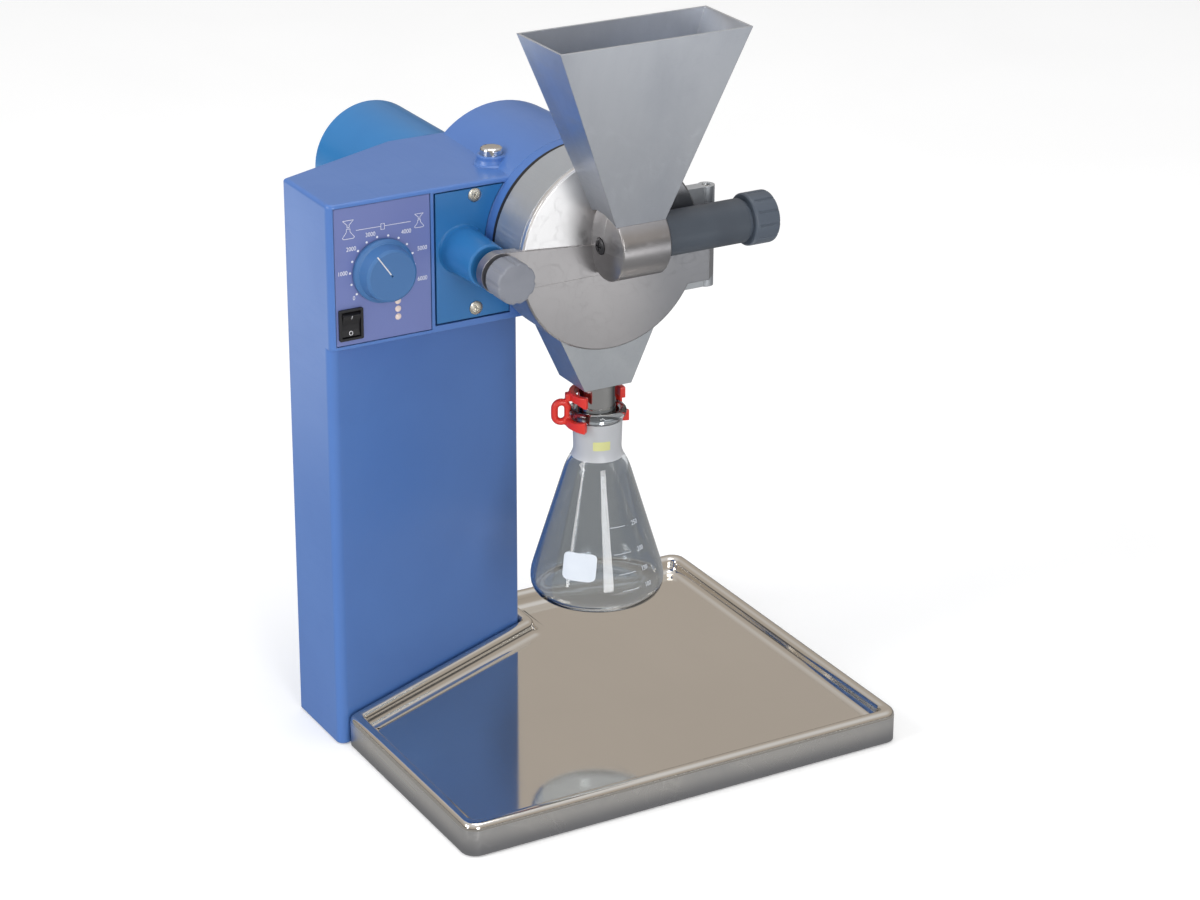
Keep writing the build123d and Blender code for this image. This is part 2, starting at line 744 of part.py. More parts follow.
# --------------------------------------------------- door with ear, hinge and feed boss
with BuildPart() as chamber_cover:
    # feed boss with a shallow domed end
    with BuildSketch(Plane((0, boss_y, boss_z), x_dir=(1, 0, 0), z_dir=(0, -1, 0))) as half_boss:
        with BuildLine():
            Line((-5.6, 0), (-5.6, 6.2))
            ThreePointArc((-5.6, 6.2), (-4.6, 14.6), (-2, boss_radius - 0.5))
            Polyline(
                (-2, boss_radius - 0.5), (-1.3, boss_radius), (31, boss_radius), (32, boss_radius - 1), (32, 0),
                (-5.6, 0),
            )
        make_face()
    revolve(half_boss.sketch, axis=Axis((0, boss_y, boss_z), (1, 0, 0)))
    block(-10, 40, cover_front + 1, 0, 300, 365, Mode.SUBTRACT)
    turned_y(
        mill_x,
        mill_z,
        [(cover_back, 0), (cover_back, cover_radius), (cover_front + 1, cover_radius),
         (cover_front, cover_radius - 1), (cover_front, 0)],
    )
    # clamp bar across the door, with its ear
    with BuildSketch(front(cover_back)) as bar:
        with BuildLine():
            Polyline((clamp_x, 309), (0, 309.6), (0, 329.4), (clamp_x, 335), close=True)
        make_face()
    extrude(amount=cover_back - bar_front)
    with BuildSketch(front(-34)) as ear:
        with Locations((clamp_x, clamp_z)):
            Circle(13)
        with BuildLine():
            Polyline((clamp_x, 309), (-55.3, 309), (-55.3, 334), (clamp_x, 335), close=True)
        make_face()
    extrude(amount=-34 - bar_front)
    rod_y(clamp_x, clamp_z, 4.5, -50, -30, Mode.SUBTRACT)
    # hinge lug and its rolled knuckle
    block(55, 75, cover_front, cover_back, 292.35, 339.65)
    with BuildSketch(level(292.35)) as knuckle:
        with Locations((hinge_x, hinge_y)):
            Circle(knuckle_radius)
        with Locations((76, -37.5)):
            Rectangle(6, 5)
        make_hull()
    extrude(amount=339.65 - 292.35)
    rod_z(hinge_x, hinge_y, pin_radius + running_fit, 280, 360, Mode.SUBTRACT)
    # feed bore, throat under the hopper and passage into the chamber
    rod_x(feed_y, feed_z, 12, 2, 40, Mode.SUBTRACT)
    block(3, 27, -63, -45, feed_z, 360, Mode.SUBTRACT)
    rod_y(15, 330, 9, -55, -30, Mode.SUBTRACT)
    rod_x(boss_y, boss_z, 5.6, -10, -4.4, Mode.SUBTRACT)
    rod_x(boss_y, boss_z, 2.4, -10, 0.6, Mode.SUBTRACT)
save(chamber_cover, "chamber_cover")

with BuildPart() as cover_seal:
    rod_y(mill_x, mill_z, 53.5, -36.5, -34)
    rod_y(mill_x, mill_z, 50.5, -40, -30, Mode.SUBTRACT)
save(cover_seal, "cover_seal")

with BuildPart() as feed_end_screw:
    turned_x(boss_y, boss_z, [(-7, 0), (-6.8, 4), (-6, 5.2), (-4.4, 5.2), (-4.4, 2.3), (0.4, 2.3), (0.4, 0)])
    with BuildSketch(side(-8)):
        with Locations((boss_y, boss_z)):
            Rectangle(6.6, 1.2)
            Rectangle(1.2, 6.6)
    extrude(amount=2.4, mode=Mode.SUBTRACT)
save(feed_end_screw, "feed_end_screw")


def hopper_shell(inset, z_low, z_high, mode):
    for_height = []
    for z in (z_low, z_high):
        rise = z - 348
        x0 = -3.4 - 0.436 * rise + inset
        x1 = 30.8 + 0.352 * rise - inset
        y0 = -66.8 - 0.2214 * rise + inset
        y1 = cover_front - inset
        with BuildSketch(level(z)) as slice_at:
            with Locations(((x0 + x1) / 2, (y0 + y1) / 2)):
                Rectangle(x1 - x0, y1 - y0)
        for_height.append(slice_at.sketch.face())
    loft(for_height, mode=mode)


with BuildPart() as hopper:
    hopper_shell(0, 336, hopper_top, Mode.ADD)
    hopper_shell(1.5, 335, hopper_top + 1, Mode.SUBTRACT)
    rod_x(boss_y, boss_z, boss_radius, -60, 80, Mode.SUBTRACT)
    block(-20, 50, -80, -30, 320, boss_z + 2, Mode.SUBTRACT)
save(hopper, "hopper")

with BuildPart() as feed_tube:
    rod_x(feed_y, feed_z, 14, 32, 91)
    rod_x(feed_y, feed_z, 12, 30, 88, Mode.SUBTRACT)
    rod_x(feed_y, feed_z, 4.3, 80, 95, Mode.SUBTRACT)
save(feed_tube, "feed_tube")

with BuildPart() as feed_plunger:
    rod_x(feed_y, feed_z, 12 - running_fit, 44, 80)
    rod_x(feed_y, feed_z, 4.3, 48, 85, Mode.SUBTRACT)
save(feed_plunger, "feed_plunger")

with BuildPart() as feed_knob:
    turned_x(
        feed_y,
        feed_z,
        [(91.4, 0), (91.4, 12.4), (93.4, 12.4), (93.4, 15.8), (94.4, 16.6), (110.2, 16.6), (111.4, 15), (111.4, 0)],
    )
    rod_x(feed_y, feed_z, 4, 50, 92)
    with BuildSketch(side(96.5)):
        with Locations((feed_y, feed_z)):
            with PolarLocations(16.8, 12):
                Circle(0.8)
    extrude(amount=22, mode=Mode.SUBTRACT)
save(feed_knob, "feed_knob")

# ---------------------------------------------------------------- clamp screw
with BuildPart() as clamp_washer:
    rod_y(clamp_x, clamp_z, 9, -44, bar_front - 0.4)
    rod_y(clamp_x, clamp_z, 4 + running_fit, -50, -30, Mode.SUBTRACT)
save(clamp_washer, "clamp_washer")

with BuildPart() as clamp_screw:
    turned_y(
        clamp_x,
        clamp_z,
        [(-55, 0), (-55, 4), (-29.5, 4), (-29.5, 6.5), (-27.5, 6.5), (-27.5, 4), (-15.5, 4), (-14.5, 3), (-14.5, 0)],
    )
save(clamp_screw, "clamp_screw")

with BuildPart() as clamp_knob:
    turned_y(
        clamp_x,
        clamp_z,
        [(-62, 0), (-62, 12.4), (-61.4, 13), (-46, 13), (-45, 12), (-44.4, 8), (-44.4, 0)],
    )
    with BuildSketch(front(-46.5)):
        with Locations((clamp_x, clamp_z)):
            with PolarLocations(15, 8):
                Circle(3)
    extrude(amount=20, mode=Mode.SUBTRACT)
    rod_y(clamp_x, clamp_z, 4, -55, -40, Mode.SUBTRACT)
save(clamp_knob, "clamp_knob")

# ------------------------------------------------------------ flask and its clip
with BuildPart() as flask:
    turned_z(
        mill_x,
        outlet_y,
        [
            (0, 89.4), (20, 89), (28, 88), (34.5, 88), (38.6, 89.4), (41.4, 92.4), (42.7, 97),
            (42.5, 103.5), (20.9, 174.5),
            (18.2, 180.5), (15.4, 185), (15.2, 187.5), (16.1, 208.8), (17.6, 209.6), (18.5, 211),
            (18.5, 213), (17.4, 214.5), (14.5, 214.5), (13, 183), (13.8, 181.5), (16.6, 178.6),
            (19, 174), (40.7, 103), (40.9, 97.4), (39.9, 94), (37.6, 91.6), (34, 90.4), (28, 90.2),
            (0, 91.4),
        ],
    )
save(flask, "flask")


def open_ring(inner, outer, z0, z1):
    with BuildSketch(level(z0)) as ring:
        with Locations((mill_x, outlet_y)):
            Circle(outer)
            Circle(inner, mode=Mode.SUBTRACT)
        with BuildLine():
            Polyline(
                (mill_x, outlet_y),
                (mill_x + 40 * cos(radians(218)), outlet_y + 40 * sin(radians(218))),
                (mill_x + 40 * cos(radians(281)), outlet_y + 40 * sin(radians(281))),
                (mill_x + 40 * cos(radians(345)), outlet_y + 40 * sin(radians(345))),
                close=True,
            )
        make_face(mode=Mode.SUBTRACT)
    extrude(ring.sketch, amount=z1 - z0)


with BuildPart() as joint_clip:
    open_ring(14.5, 18.4, 220, 226)
    open_ring(16.4, 21, 202.5, 208.5)
    for turn in (20, 90, 159):
        way = (cos(radians(turn)), sin(radians(turn)), 0)
        reach = 29 if turn == 159 else 21.6
        with BuildSketch(Plane((mill_x, outlet_y, 0), x_dir=way, z_dir=(sin(radians(turn)), -cos(radians(turn)), 0))):
            if turn == 159:
                with Locations(((15 + reach) / 2, 212)):
                    RectangleRounded(reach - 15, 19, 6)
                with Locations((24.2, 212)):
                    RectangleRounded(5, 7.5, 2.4, mode=Mode.SUBTRACT)
            else:
                with Locations(((15 + reach) / 2, 214.25)):
                    RectangleRounded(reach - 15, 23.5, 1.5)
        extrude(amount=2.8, both=True)
    rod_z(mill_x, outlet_y, 14.5, 190, 240, Mode.SUBTRACT)
    rod_z(mill_x, outlet_y, 16.4, 190, 210, Mode.SUBTRACT)
    rod_z(mill_x, outlet_y, 18.8, 208.8, 219, Mode.SUBTRACT)
save(joint_clip, "joint_clip")

# ------------------------------------------------------------------ drip tray
tray_outline = [
    (tray_left, tray_front), (tray_right, tray_front), (tray_right, tray_back),
    (9.2, tray_back), (9.2, 82.2), (tray_left, 13.3),
]


def tray_sketch(z, inset, corner, tight):
    with BuildSketch(level(z)) as plan:
        with BuildLine():
            Polyline(*tray_outline, close=True)
        make_face()
        if inset:
            offset(amount=-inset, kind=Kind.INTERSECTION, mode=Mode.REPLACE)
        fillet(plan.vertices().group_by(Axis.Y)[0] + [plan.vertices().sort_by(Axis.Y)[-1]], corner)
        fillet(plan.vertices().filter_by(lambda v: abs(v.Y - 82.2 + inset) < 6 and v.X < 20), tight)
    return plan.sketch


with BuildPart() as drip_tray:
    extrude(tray_sketch(1, 0, 9.5, 3), amount=tray_top - 1)
    fillet(drip_tray.faces().sort_by(Axis.Z)[-1].edges(), 2.6)
    extrude(tray_sketch(tray_floor, rim_width, 6, 6), amount=20, mode=Mode.SUBTRACT)
    extrude(tray_sketch(0, sheet, 8.5, 3), amount=tray_floor - sheet, mode=Mode.SUBTRACT)
    # the skirt stops short where the foot plate passes under it
    with BuildSketch(level(0)):
        with BuildLine():
            Polyline(*plate_outline, close=True)
        make_face()
        offset(amount=0.8, kind=Kind.INTERSECTION)
    extrude(amount=tray_floor - sheet, mode=Mode.SUBTRACT)
save(drip_tray, "drip_tray")
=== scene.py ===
import json
import math
import bpy
import bmesh
from mathutils import Matrix, Vector

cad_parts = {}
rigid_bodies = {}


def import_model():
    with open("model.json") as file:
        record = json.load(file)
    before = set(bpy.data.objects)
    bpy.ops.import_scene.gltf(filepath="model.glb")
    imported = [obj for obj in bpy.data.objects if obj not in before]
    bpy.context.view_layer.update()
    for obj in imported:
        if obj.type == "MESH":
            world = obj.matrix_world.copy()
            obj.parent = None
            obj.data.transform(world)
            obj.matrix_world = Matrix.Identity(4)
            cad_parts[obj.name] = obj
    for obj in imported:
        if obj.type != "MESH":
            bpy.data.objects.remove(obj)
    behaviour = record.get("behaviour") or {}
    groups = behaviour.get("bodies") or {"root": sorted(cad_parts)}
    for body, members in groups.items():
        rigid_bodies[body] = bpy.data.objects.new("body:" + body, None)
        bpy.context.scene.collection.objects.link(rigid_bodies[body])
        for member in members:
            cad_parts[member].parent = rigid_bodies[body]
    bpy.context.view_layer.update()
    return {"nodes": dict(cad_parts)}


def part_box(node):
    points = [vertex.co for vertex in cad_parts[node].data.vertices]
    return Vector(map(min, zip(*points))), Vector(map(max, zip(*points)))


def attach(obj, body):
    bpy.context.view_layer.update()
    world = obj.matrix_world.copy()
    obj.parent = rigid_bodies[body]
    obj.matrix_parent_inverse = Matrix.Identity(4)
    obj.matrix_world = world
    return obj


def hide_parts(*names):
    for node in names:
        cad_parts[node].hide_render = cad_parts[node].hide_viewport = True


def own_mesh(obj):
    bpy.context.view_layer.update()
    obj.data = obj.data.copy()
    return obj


# Looks of the lab mill. Sizes in the dictionaries are millimetres and degrees unless a note says otherwise.

for leftover in list(bpy.data.objects):
    bpy.data.objects.remove(leftover)

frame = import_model()
nodes = frame["nodes"]
print("frame loaded:", len(nodes), "nodes")


def mm(value):
    return value * 0.001


def tone(red, green, blue):
    # eye colour 0-255 to the linear colour that a shader wants
    linear = []
    for part in (red, green, blue):
        part = part / 255
        linear.append(part / 12.92 if part <= 0.04045 else ((part + 0.055) / 1.055) ** 2.4)
    return (linear[0], linear[1], linear[2], 1)


# the front plane of the dial panel ties drawing sizes to the frame
panelFront = 10.5
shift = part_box("control_panel")[0][1] * 1000 - panelFront


def at(x, y, z):
    return Vector((mm(x), mm(y + shift), mm(z)))


def linked(name, data):
    item = bpy.data.objects.new(name, data)
    bpy.context.scene.collection.objects.link(item)
    return item


# camera at the photograph's place; yaw, pitch and roll in radians
cameraSet = {
    "place": (-905.14, -1639.81, 971.69),
    "yaw": 0.5126,
    "pitch": 0.3710,
    "roll": 0.0028,
    "lens": 95.74,
    "sensor": 36,
    "shift": (0.00654, -0.0792),
    "farthest": 60,
}


def aimCamera(values):
    data = bpy.data.cameras.new("photoCamera")
    data.lens = values["lens"]
    data.sensor_width = values["sensor"]
    data.shift_x, data.shift_y = values["shift"]
    data.clip_end = values["farthest"]
    camera = linked("photoCamera", data)
    yaw, pitch, roll = values["yaw"], values["pitch"], values["roll"]
    ahead = Vector((math.sin(yaw) * math.cos(pitch), math.cos(yaw) * math.cos(pitch), -math.sin(pitch)))
    right = Vector((math.cos(yaw), -math.sin(yaw), 0))
    up = right.cross(ahead)
    rightRolled = right * math.cos(roll) + up * math.sin(roll)
    upRolled = up * math.cos(roll) - right * math.sin(roll)
    turn = Matrix((rightRolled, upRolled, -ahead)).transposed()
    camera.matrix_world = Matrix.Translation(at(*values["place"])) @ turn.to_4x4()
    bpy.context.scene.camera = camera


aimCamera(cameraSet)
bpy.context.scene.view_settings.view_transform = "Standard"

# node helpers for shaders and for Geometry Nodes


def giveSocket(tree, socket, value):
    if isinstance(value, bpy.types.NodeSocket):
        tree.links.new(value, socket)
    else:
        socket.default_value = value


def addNode(tree, kind, values=None, **sockets):
    node = tree.nodes.new(kind)
    for name, value in (values or {}).items():
        setattr(node, name, value)
    for name, value in sockets.items():
        giveSocket(tree, node.inputs[name.replace("_", " ")], value)
    return node


def mathNode(tree, operation, *values, clamp=False):
    node = addNode(tree, "ShaderNodeMath", {"operation": operation, "use_clamp": clamp})
    for socket, value in zip(node.inputs, values):
        giveSocket(tree, socket, value)
    return node.outputs[0]


def largestOf(tree, values):
    total = values[0]
    for value in values[1:]:
        total = mathNode(tree, "MAXIMUM", total, value)
    return total


def mapNode(tree, value, start, stop, low=0, high=1, smooth=True):
    # value from start to stop becomes low to high
    curve = {"interpolation_type": "SMOOTHSTEP" if smooth else "LINEAR"}
    node = addNode(tree, "ShaderNodeMapRange", curve, Value=value, From_Min=start, From_Max=stop,
                   To_Min=low, To_Max=high)
    return node.outputs["Result"]


def objectPlace(tree):
    return addNode(tree, "ShaderNodeTexCoord").outputs["Object"]


def objectParts(tree):
    return addNode(tree, "ShaderNodeSeparateXYZ", Vector=objectPlace(tree)).outputs


def mixTones(tree, mask, first, second):
    mix = addNode(tree, "ShaderNodeMix", {"data_type": "RGBA"})
    for index, value in ((0, mask), (6, first), (7, second)):
        giveSocket(tree, mix.inputs[index], value)
    return mix.outputs[2]


# shader effects that several finishes share


def shaderGroup(name, inputs, outputs):
    group = bpy.data.node_groups.new(name, "ShaderNodeTree")
    for label, kind, value in inputs:
        socket = group.interface.new_socket(label, in_out="INPUT", socket_type=kind)
        socket.default_value = value
    for label, kind in outputs:
        group.interface.new_socket(label, in_out="OUTPUT", socket_type=kind)
    return group, group.nodes.new("NodeGroupInput").outputs, group.nodes.new("NodeGroupOutput").inputs


def makeBlotches():
    # slow drift between two tones, with a mask of the same shape
    group, start, end = shaderGroup("blotches", [
        ("Tone A", "NodeSocketColor", (0.5, 0.5, 0.5, 1)), ("Tone B", "NodeSocketColor", (0.4, 0.4, 0.4, 1)),
        ("Scale", "NodeSocketFloat", 20), ("Edge", "NodeSocketFloat", 0.25), ("Drift", "NodeSocketFloat", 0.6),
        ("Stretch", "NodeSocketVector", (1, 1, 1)),
    ], [("Color", "NodeSocketColor"), ("Mask", "NodeSocketFloat")])
    pulled = addNode(group, "ShaderNodeVectorMath", {"operation": "MULTIPLY"})
    group.links.new(objectPlace(group), pulled.inputs[0])
    group.links.new(start["Stretch"], pulled.inputs[1])
    noise = addNode(group, "ShaderNodeTexNoise", Vector=pulled.outputs["Vector"], Scale=start["Scale"],
                    Detail=5, Roughness=0.55, Distortion=start["Drift"])
    low = mathNode(group, "SUBTRACT", 0.5, start["Edge"])
    high = mathNode(group, "ADD", 0.5, start["Edge"])
    mask = mapNode(group, noise.outputs["Fac"], low, high)
    group.links.new(mixTones(group, mask, start["Tone A"], start["Tone B"]), end["Color"])
    group.links.new(mask, end["Mask"])
    return group


def makeGrain():
    # fine relief: peel of lacquer, moulded skin, cast skin
    group, start, end = shaderGroup("fineGrain", [
        ("Scale", "NodeSocketFloat", 900), ("Coarse", "NodeSocketFloat", 0.3),
    ], [("Height", "NodeSocketFloat")])
    place = objectPlace(group)
    small = addNode(group, "ShaderNodeTexNoise", Vector=place, Scale=start["Scale"], Detail=3)
    slower = mathNode(group, "MULTIPLY", start["Scale"], 0.22)
    large = addNode(group, "ShaderNodeTexNoise", Vector=place, Scale=slower, Detail=2)
    mix = addNode(group, "ShaderNodeMix", {"data_type": "FLOAT"})
    for index, value in ((0, start["Coarse"]), (2, small.outputs["Fac"]), (3, large.outputs["Fac"])):
        group.links.new(value, mix.inputs[index])
    group.links.new(mix.outputs[0], end["Height"])
    return group


def makeEdgeTouch():
    # rounded normals on sharp corners, and a mask of those corners
    group, start, end = shaderGroup("edgeTouch", [
        ("Radius", "NodeSocketFloat", 0.0005), ("Breakup", "NodeSocketFloat", 140),
    ], [("Normal", "NodeSocketVector"), ("Mask", "NodeSocketFloat")])
    soft = addNode(group, "ShaderNodeBevel", {"samples": 4}, Radius=start["Radius"])
    flat = addNode(group, "ShaderNodeNewGeometry")
    dot = addNode(group, "ShaderNodeVectorMath", {"operation": "DOT_PRODUCT"})
    group.links.new(soft.outputs["Normal"], dot.inputs[0])
    group.links.new(flat.outputs["Normal"], dot.inputs[1])
    edge = mapNode(group, dot.outputs["Value"], 0.995, 0.9, smooth=False)
    noise = addNode(group, "ShaderNodeTexNoise", Vector=objectPlace(group), Scale=start["Breakup"], Detail=4)
    group.links.new(soft.outputs["Normal"], end["Normal"])
    group.links.new(mathNode(group, "MULTIPLY", edge, noise.outputs["Fac"]), end["Mask"])
    return group


def makeScratches():
    # thin marks at a few angles, as handling and wiping leave
    group, start, end = shaderGroup("handlingMarks", [
        ("Scale", "NodeSocketFloat", 60), ("Width", "NodeSocketFloat", 0.02),
    ], [("Mask", "NodeSocketFloat")])
    place = objectPlace(group)
    masks = []
    for turn in ((0.3, 0.9, 0.2), (1.1, 0.2, 2.1), (2.0, 1.4, 0.7)):
        turned = addNode(group, "ShaderNodeMapping", Vector=place, Rotation=turn, Scale=(1, 0.08, 1))
        lines = addNode(group, "ShaderNodeTexNoise", Vector=turned.outputs["Vector"], Scale=start["Scale"],
                        Detail=2, Distortion=0.4)
        size = mathNode(group, "ABSOLUTE", mathNode(group, "SUBTRACT", lines.outputs["Fac"], 0.5))
        masks.append(mapNode(group, size, 0, start["Width"], 1, 0, smooth=False))
    group.links.new(largestOf(group, masks), end["Mask"])
    return group


blotches = makeBlotches()
fineGrain = makeGrain()
edgeTouch = makeEdgeTouch()
handlingMarks = makeScratches()


def placeGroup(tree, group, **sockets):
    return addNode(tree, "ShaderNodeGroup", {"node_tree": group}, **sockets).outputs


def newFinish(name):
    finish = bpy.data.materials.new(name)
    finish.use_nodes = True
    tree = finish.node_tree
    return finish, tree, tree.nodes["Principled BSDF"].inputs


def driftTones(tree, values, scale, **more):
    return placeGroup(tree, blotches, Tone_A=tone(*values["tone"]), Tone_B=tone(*values["drift"]), Scale=scale, **more)


reliefDepth = 0.0001  # metres


def joinRelief(tree, shader, strength, scale, coarse, edge=None):
    grain = placeGroup(tree, fineGrain, Scale=scale, Coarse=coarse)
    bump = addNode(tree, "ShaderNodeBump", Strength=strength, Distance=reliefDepth, Height=grain["Height"])
    if edge is not None:
        tree.links.new(edge["Normal"], bump.inputs["Normal"])
    tree.links.new(bump.outputs["Normal"], shader["Normal"])


def spread(tree, mask, low, high):
    return mapNode(tree, mask, 0, 1, low, high, smooth=False)


def markedRoughness(tree, shader, drift, values, scale, width, share):
    # roughness drifts with the tone and rises on the handling marks
    marks = placeGroup(tree, handlingMarks, Scale=scale, Width=width)
    base = spread(tree, drift["Mask"], *values["rough"])
    tree.links.new(mathNode(tree, "ADD", base, spread(tree, marks["Mask"], 0, share), clamp=True), shader["Roughness"])


# lighter tone on sharp edges: partly rubbed wear, partly a painted edge highlight
def edgedTone(tree, shader, drift, edge, wearAndHighlight, edgeTone):
    colour = mixTones(tree, spread(tree, edge["Mask"], 0, wearAndHighlight), drift["Color"], tone(*edgeTone))
    tree.links.new(colour, shader["Base Color"])


# finishes: eye colours 0-255, roughness as low and high end, edge radius in metres, scales per metre

lacquers = {
    "housingLacquer": {"tone": (77, 118, 184), "drift": (73, 113, 179), "edge": (130, 160, 210), "rough": (0.3, 0.38)},
    "motorLacquer": {"tone": (34, 120, 182), "drift": (30, 113, 175), "edge": (104, 166, 212), "rough": (0.28, 0.36)},
    "clampLacquer": {"tone": (42, 112, 172), "drift": (38, 106, 165), "edge": (92, 152, 202), "rough": (0.3, 0.38)},
    "knobMoulding": {"tone": (62, 110, 163), "drift": (58, 104, 157), "edge": (110, 158, 206), "rough": (0.42, 0.5)},
    "panelFilm": {"tone": (106, 119, 174), "drift": (102, 114, 169), "edge": (156, 164, 212), "rough": (0.34, 0.42)},
}
lacquerSkin = {"driftScale": 9, "edgeRadius": 0.0006, "edgeWearAndHighlight": 0.55, "markScale": 34, "markWidth": 0.006,
               "markShare": 0.03, "coat": 0.15, "coatRough": 0.2, "grain": 1100, "coarse": 0.4, "relief": 0.22}


def makeLacquer(name, values, skin):
    finish, tree, shader = newFinish(name)
    drift = driftTones(tree, values, skin["driftScale"])
    edge = placeGroup(tree, edgeTouch, Radius=skin["edgeRadius"])
    edgedTone(tree, shader, drift, edge, skin["edgeWearAndHighlight"], values["edge"])
    markedRoughness(tree, shader, drift, values, skin["markScale"], skin["markWidth"], skin["markShare"])
    shader["Coat Weight"].default_value = skin["coat"]
    shader["Coat Roughness"].default_value = skin["coatRough"]
    joinRelief(tree, shader, skin["relief"], skin["grain"], skin["coarse"], edge)
    return finish


metals = {
    "doorAluminium": {"tone": (184, 182, 183), "drift": (174, 172, 174), "scale": 14, "stretch": (1, 1, 0.6),
                      "rough": (0.28, 0.36), "grain": 1000, "relief": 0.14, "marks": 0.08},
    "castAluminium": {"tone": (200, 204, 208), "drift": (186, 191, 197), "scale": 22, "stretch": (1, 1, 0.7),
                      "rough": (0.44, 0.54), "grain": 620, "relief": 0.32, "marks": 0.08},
    "sheetAluminium": {"tone": (218, 222, 229), "drift": (192, 197, 206), "scale": 17, "stretch": (1, 1, 0.3),
                       "rough": (0.34, 0.46), "grain": 1300, "relief": 0.16, "marks": 0.1},
    "trayStainless": {"tone": (226, 221, 213), "drift": (220, 215, 207), "scale": 5, "stretch": (1, 1, 1),
                      "rough": (0.05, 0.085), "grain": 700, "relief": 0.015, "marks": 0.03},
    "traySkirt": {"tone": (248, 244, 238), "drift": (206, 206, 208), "scale": 9, "stretch": (1, 1, 0.6),
                  "rough": (0.24, 0.36), "grain": 1100, "relief": 0.1, "marks": 0.1},
    "tubeChrome": {"tone": (214, 213, 211), "drift": (202, 202, 201), "scale": 30, "stretch": (1, 1, 0.2),
                   "rough": (0.08, 0.14), "grain": 900, "relief": 0.04, "marks": 0.05},
    "brightChrome": {"tone": (222, 221, 218), "drift": (212, 211, 209), "scale": 40, "stretch": (1, 1, 1),
                     "rough": (0.05, 0.1), "grain": 900, "relief": 0.03, "marks": 0.05},
    "plainSteel": {"tone": (158, 158, 160), "drift": (138, 138, 142), "scale": 40, "stretch": (1, 1, 1),
                   "rough": (0.28, 0.4), "grain": 900, "relief": 0.2, "marks": 0.12},
    "zincScrew": {"tone": (232, 227, 214), "drift": (218, 212, 198), "scale": 60, "stretch": (1, 1, 1),
                  "rough": (0.2, 0.32), "grain": 1200, "relief": 0.1, "marks": 0.1},
    "coilCopper": {"tone": (120, 84, 62), "drift": (84, 70, 62), "scale": 60, "stretch": (1, 1, 1),
                   "rough": (0.4, 0.55), "grain": 500, "relief": 0.4, "marks": 0.08},
}
metalSkin = {"edgeRadius": 0.0005, "edgeWearAndHighlight": 0.6, "edge": (226, 225, 222), "driftEdge": 0.3, "driftBend": 0.5,
             "markTimes": 3, "markWidth": 0.01, "coarse": 0.5}


def makeMetal(name, values, skin):
    finish, tree, shader = newFinish(name)
    drift = driftTones(tree, values, values["scale"], Edge=skin["driftEdge"], Drift=skin["driftBend"],
                       Stretch=values["stretch"])
    edge = placeGroup(tree, edgeTouch, Radius=skin["edgeRadius"])
    edgedTone(tree, shader, drift, edge, skin["edgeWearAndHighlight"], skin["edge"])
    shader["Metallic"].default_value = 1
    markScale = values["scale"] * skin["markTimes"]
    markedRoughness(tree, shader, drift, values, markScale, skin["markWidth"], values["marks"])
    joinRelief(tree, shader, values["relief"], values["grain"], skin["coarse"], edge)
    return finish


plastics = {
    "gripPlastic": {"tone": (80, 89, 101), "drift": (74, 83, 95), "edge": (118, 128, 140), "rough": (0.36, 0.46)},
    "graphitePlastic": {"tone": (68, 76, 86), "drift": (62, 69, 79), "edge": (112, 120, 130), "rough": (0.42, 0.55)},
    "blackPlastic": {"tone": (34, 34, 37), "drift": (27, 27, 30), "edge": (70, 70, 74), "rough": (0.4, 0.52)},
    "greyPlastic": {"tone": (128, 131, 140), "drift": (120, 123, 132), "edge": (160, 160, 168), "rough": (0.45, 0.58)},
    "clipRed": {"tone": (214, 52, 42), "drift": (202, 44, 36), "edge": (236, 92, 80), "rough": (0.28, 0.38)},
    "lampLens": {"tone": (232, 214, 206), "drift": (222, 200, 190), "edge": (245, 236, 230), "rough": (0.22, 0.32)},
    "footRubber": {"tone": (38, 38, 40), "drift": (30, 30, 32), "edge": (60, 60, 62), "rough": (0.65, 0.8)},
    "boardGreen": {"tone": (40, 96, 62), "drift": (34, 84, 54), "edge": (90, 140, 100), "rough": (0.35, 0.5)},
    "paleLabel": {"tone": (206, 206, 146), "drift": (196, 197, 134), "edge": (216, 216, 180), "rough": (0.5, 0.6)},
    "whiteEnamel": {"tone": (214, 220, 228), "drift": (204, 211, 221), "edge": (226, 230, 236), "rough": (0.4, 0.5)},
    "whitePrint": {"tone": (236, 236, 240), "drift": (226, 226, 232), "edge": (245, 245, 248), "rough": (0.5, 0.6)},
}
plasticSkin = {"driftScale": 40, "edgeRadius": 0.0004, "edgeWearAndHighlight": 0.5, "grain": 1500, "coarse": 0.35, "relief": 0.3}


def makePlastic(name, values, skin):
    finish, tree, shader = newFinish(name)
    drift = driftTones(tree, values, skin["driftScale"])
    edge = placeGroup(tree, edgeTouch, Radius=skin["edgeRadius"])
    edgedTone(tree, shader, drift, edge, skin["edgeWearAndHighlight"], values["edge"])
    tree.links.new(spread(tree, drift["Mask"], *values["rough"]), shader["Roughness"])
    joinRelief(tree, shader, skin["relief"], skin["grain"], skin["coarse"], edge)
    return finish


# places inside these finishes are frame heights and widths
# the glass tone is a grey tint, painted shade for the dark room seen through the flask
glassValues = {"tone": (221, 225, 228), "drift": (216, 220, 224), "frostTone": (206, 208, 212), "frost": (182.8, 207.4),
               "frostFade": (1.2, 1.0), "rough": (0.01, 0.42), "refraction": 1.47, "driftScale": 18, "grain": 1400,
               "coarse": 0.2, "relief": 0.03}
frostValues = {"tone": (214, 216, 220), "drift": (202, 205, 211), "rough": (0.3, 0.42), "cover": (0.62, 0.78),
               "driftScale": 30, "stretch": (1, 1, 0.4), "grain": 2600, "coarse": 0.2, "relief": 0.25}
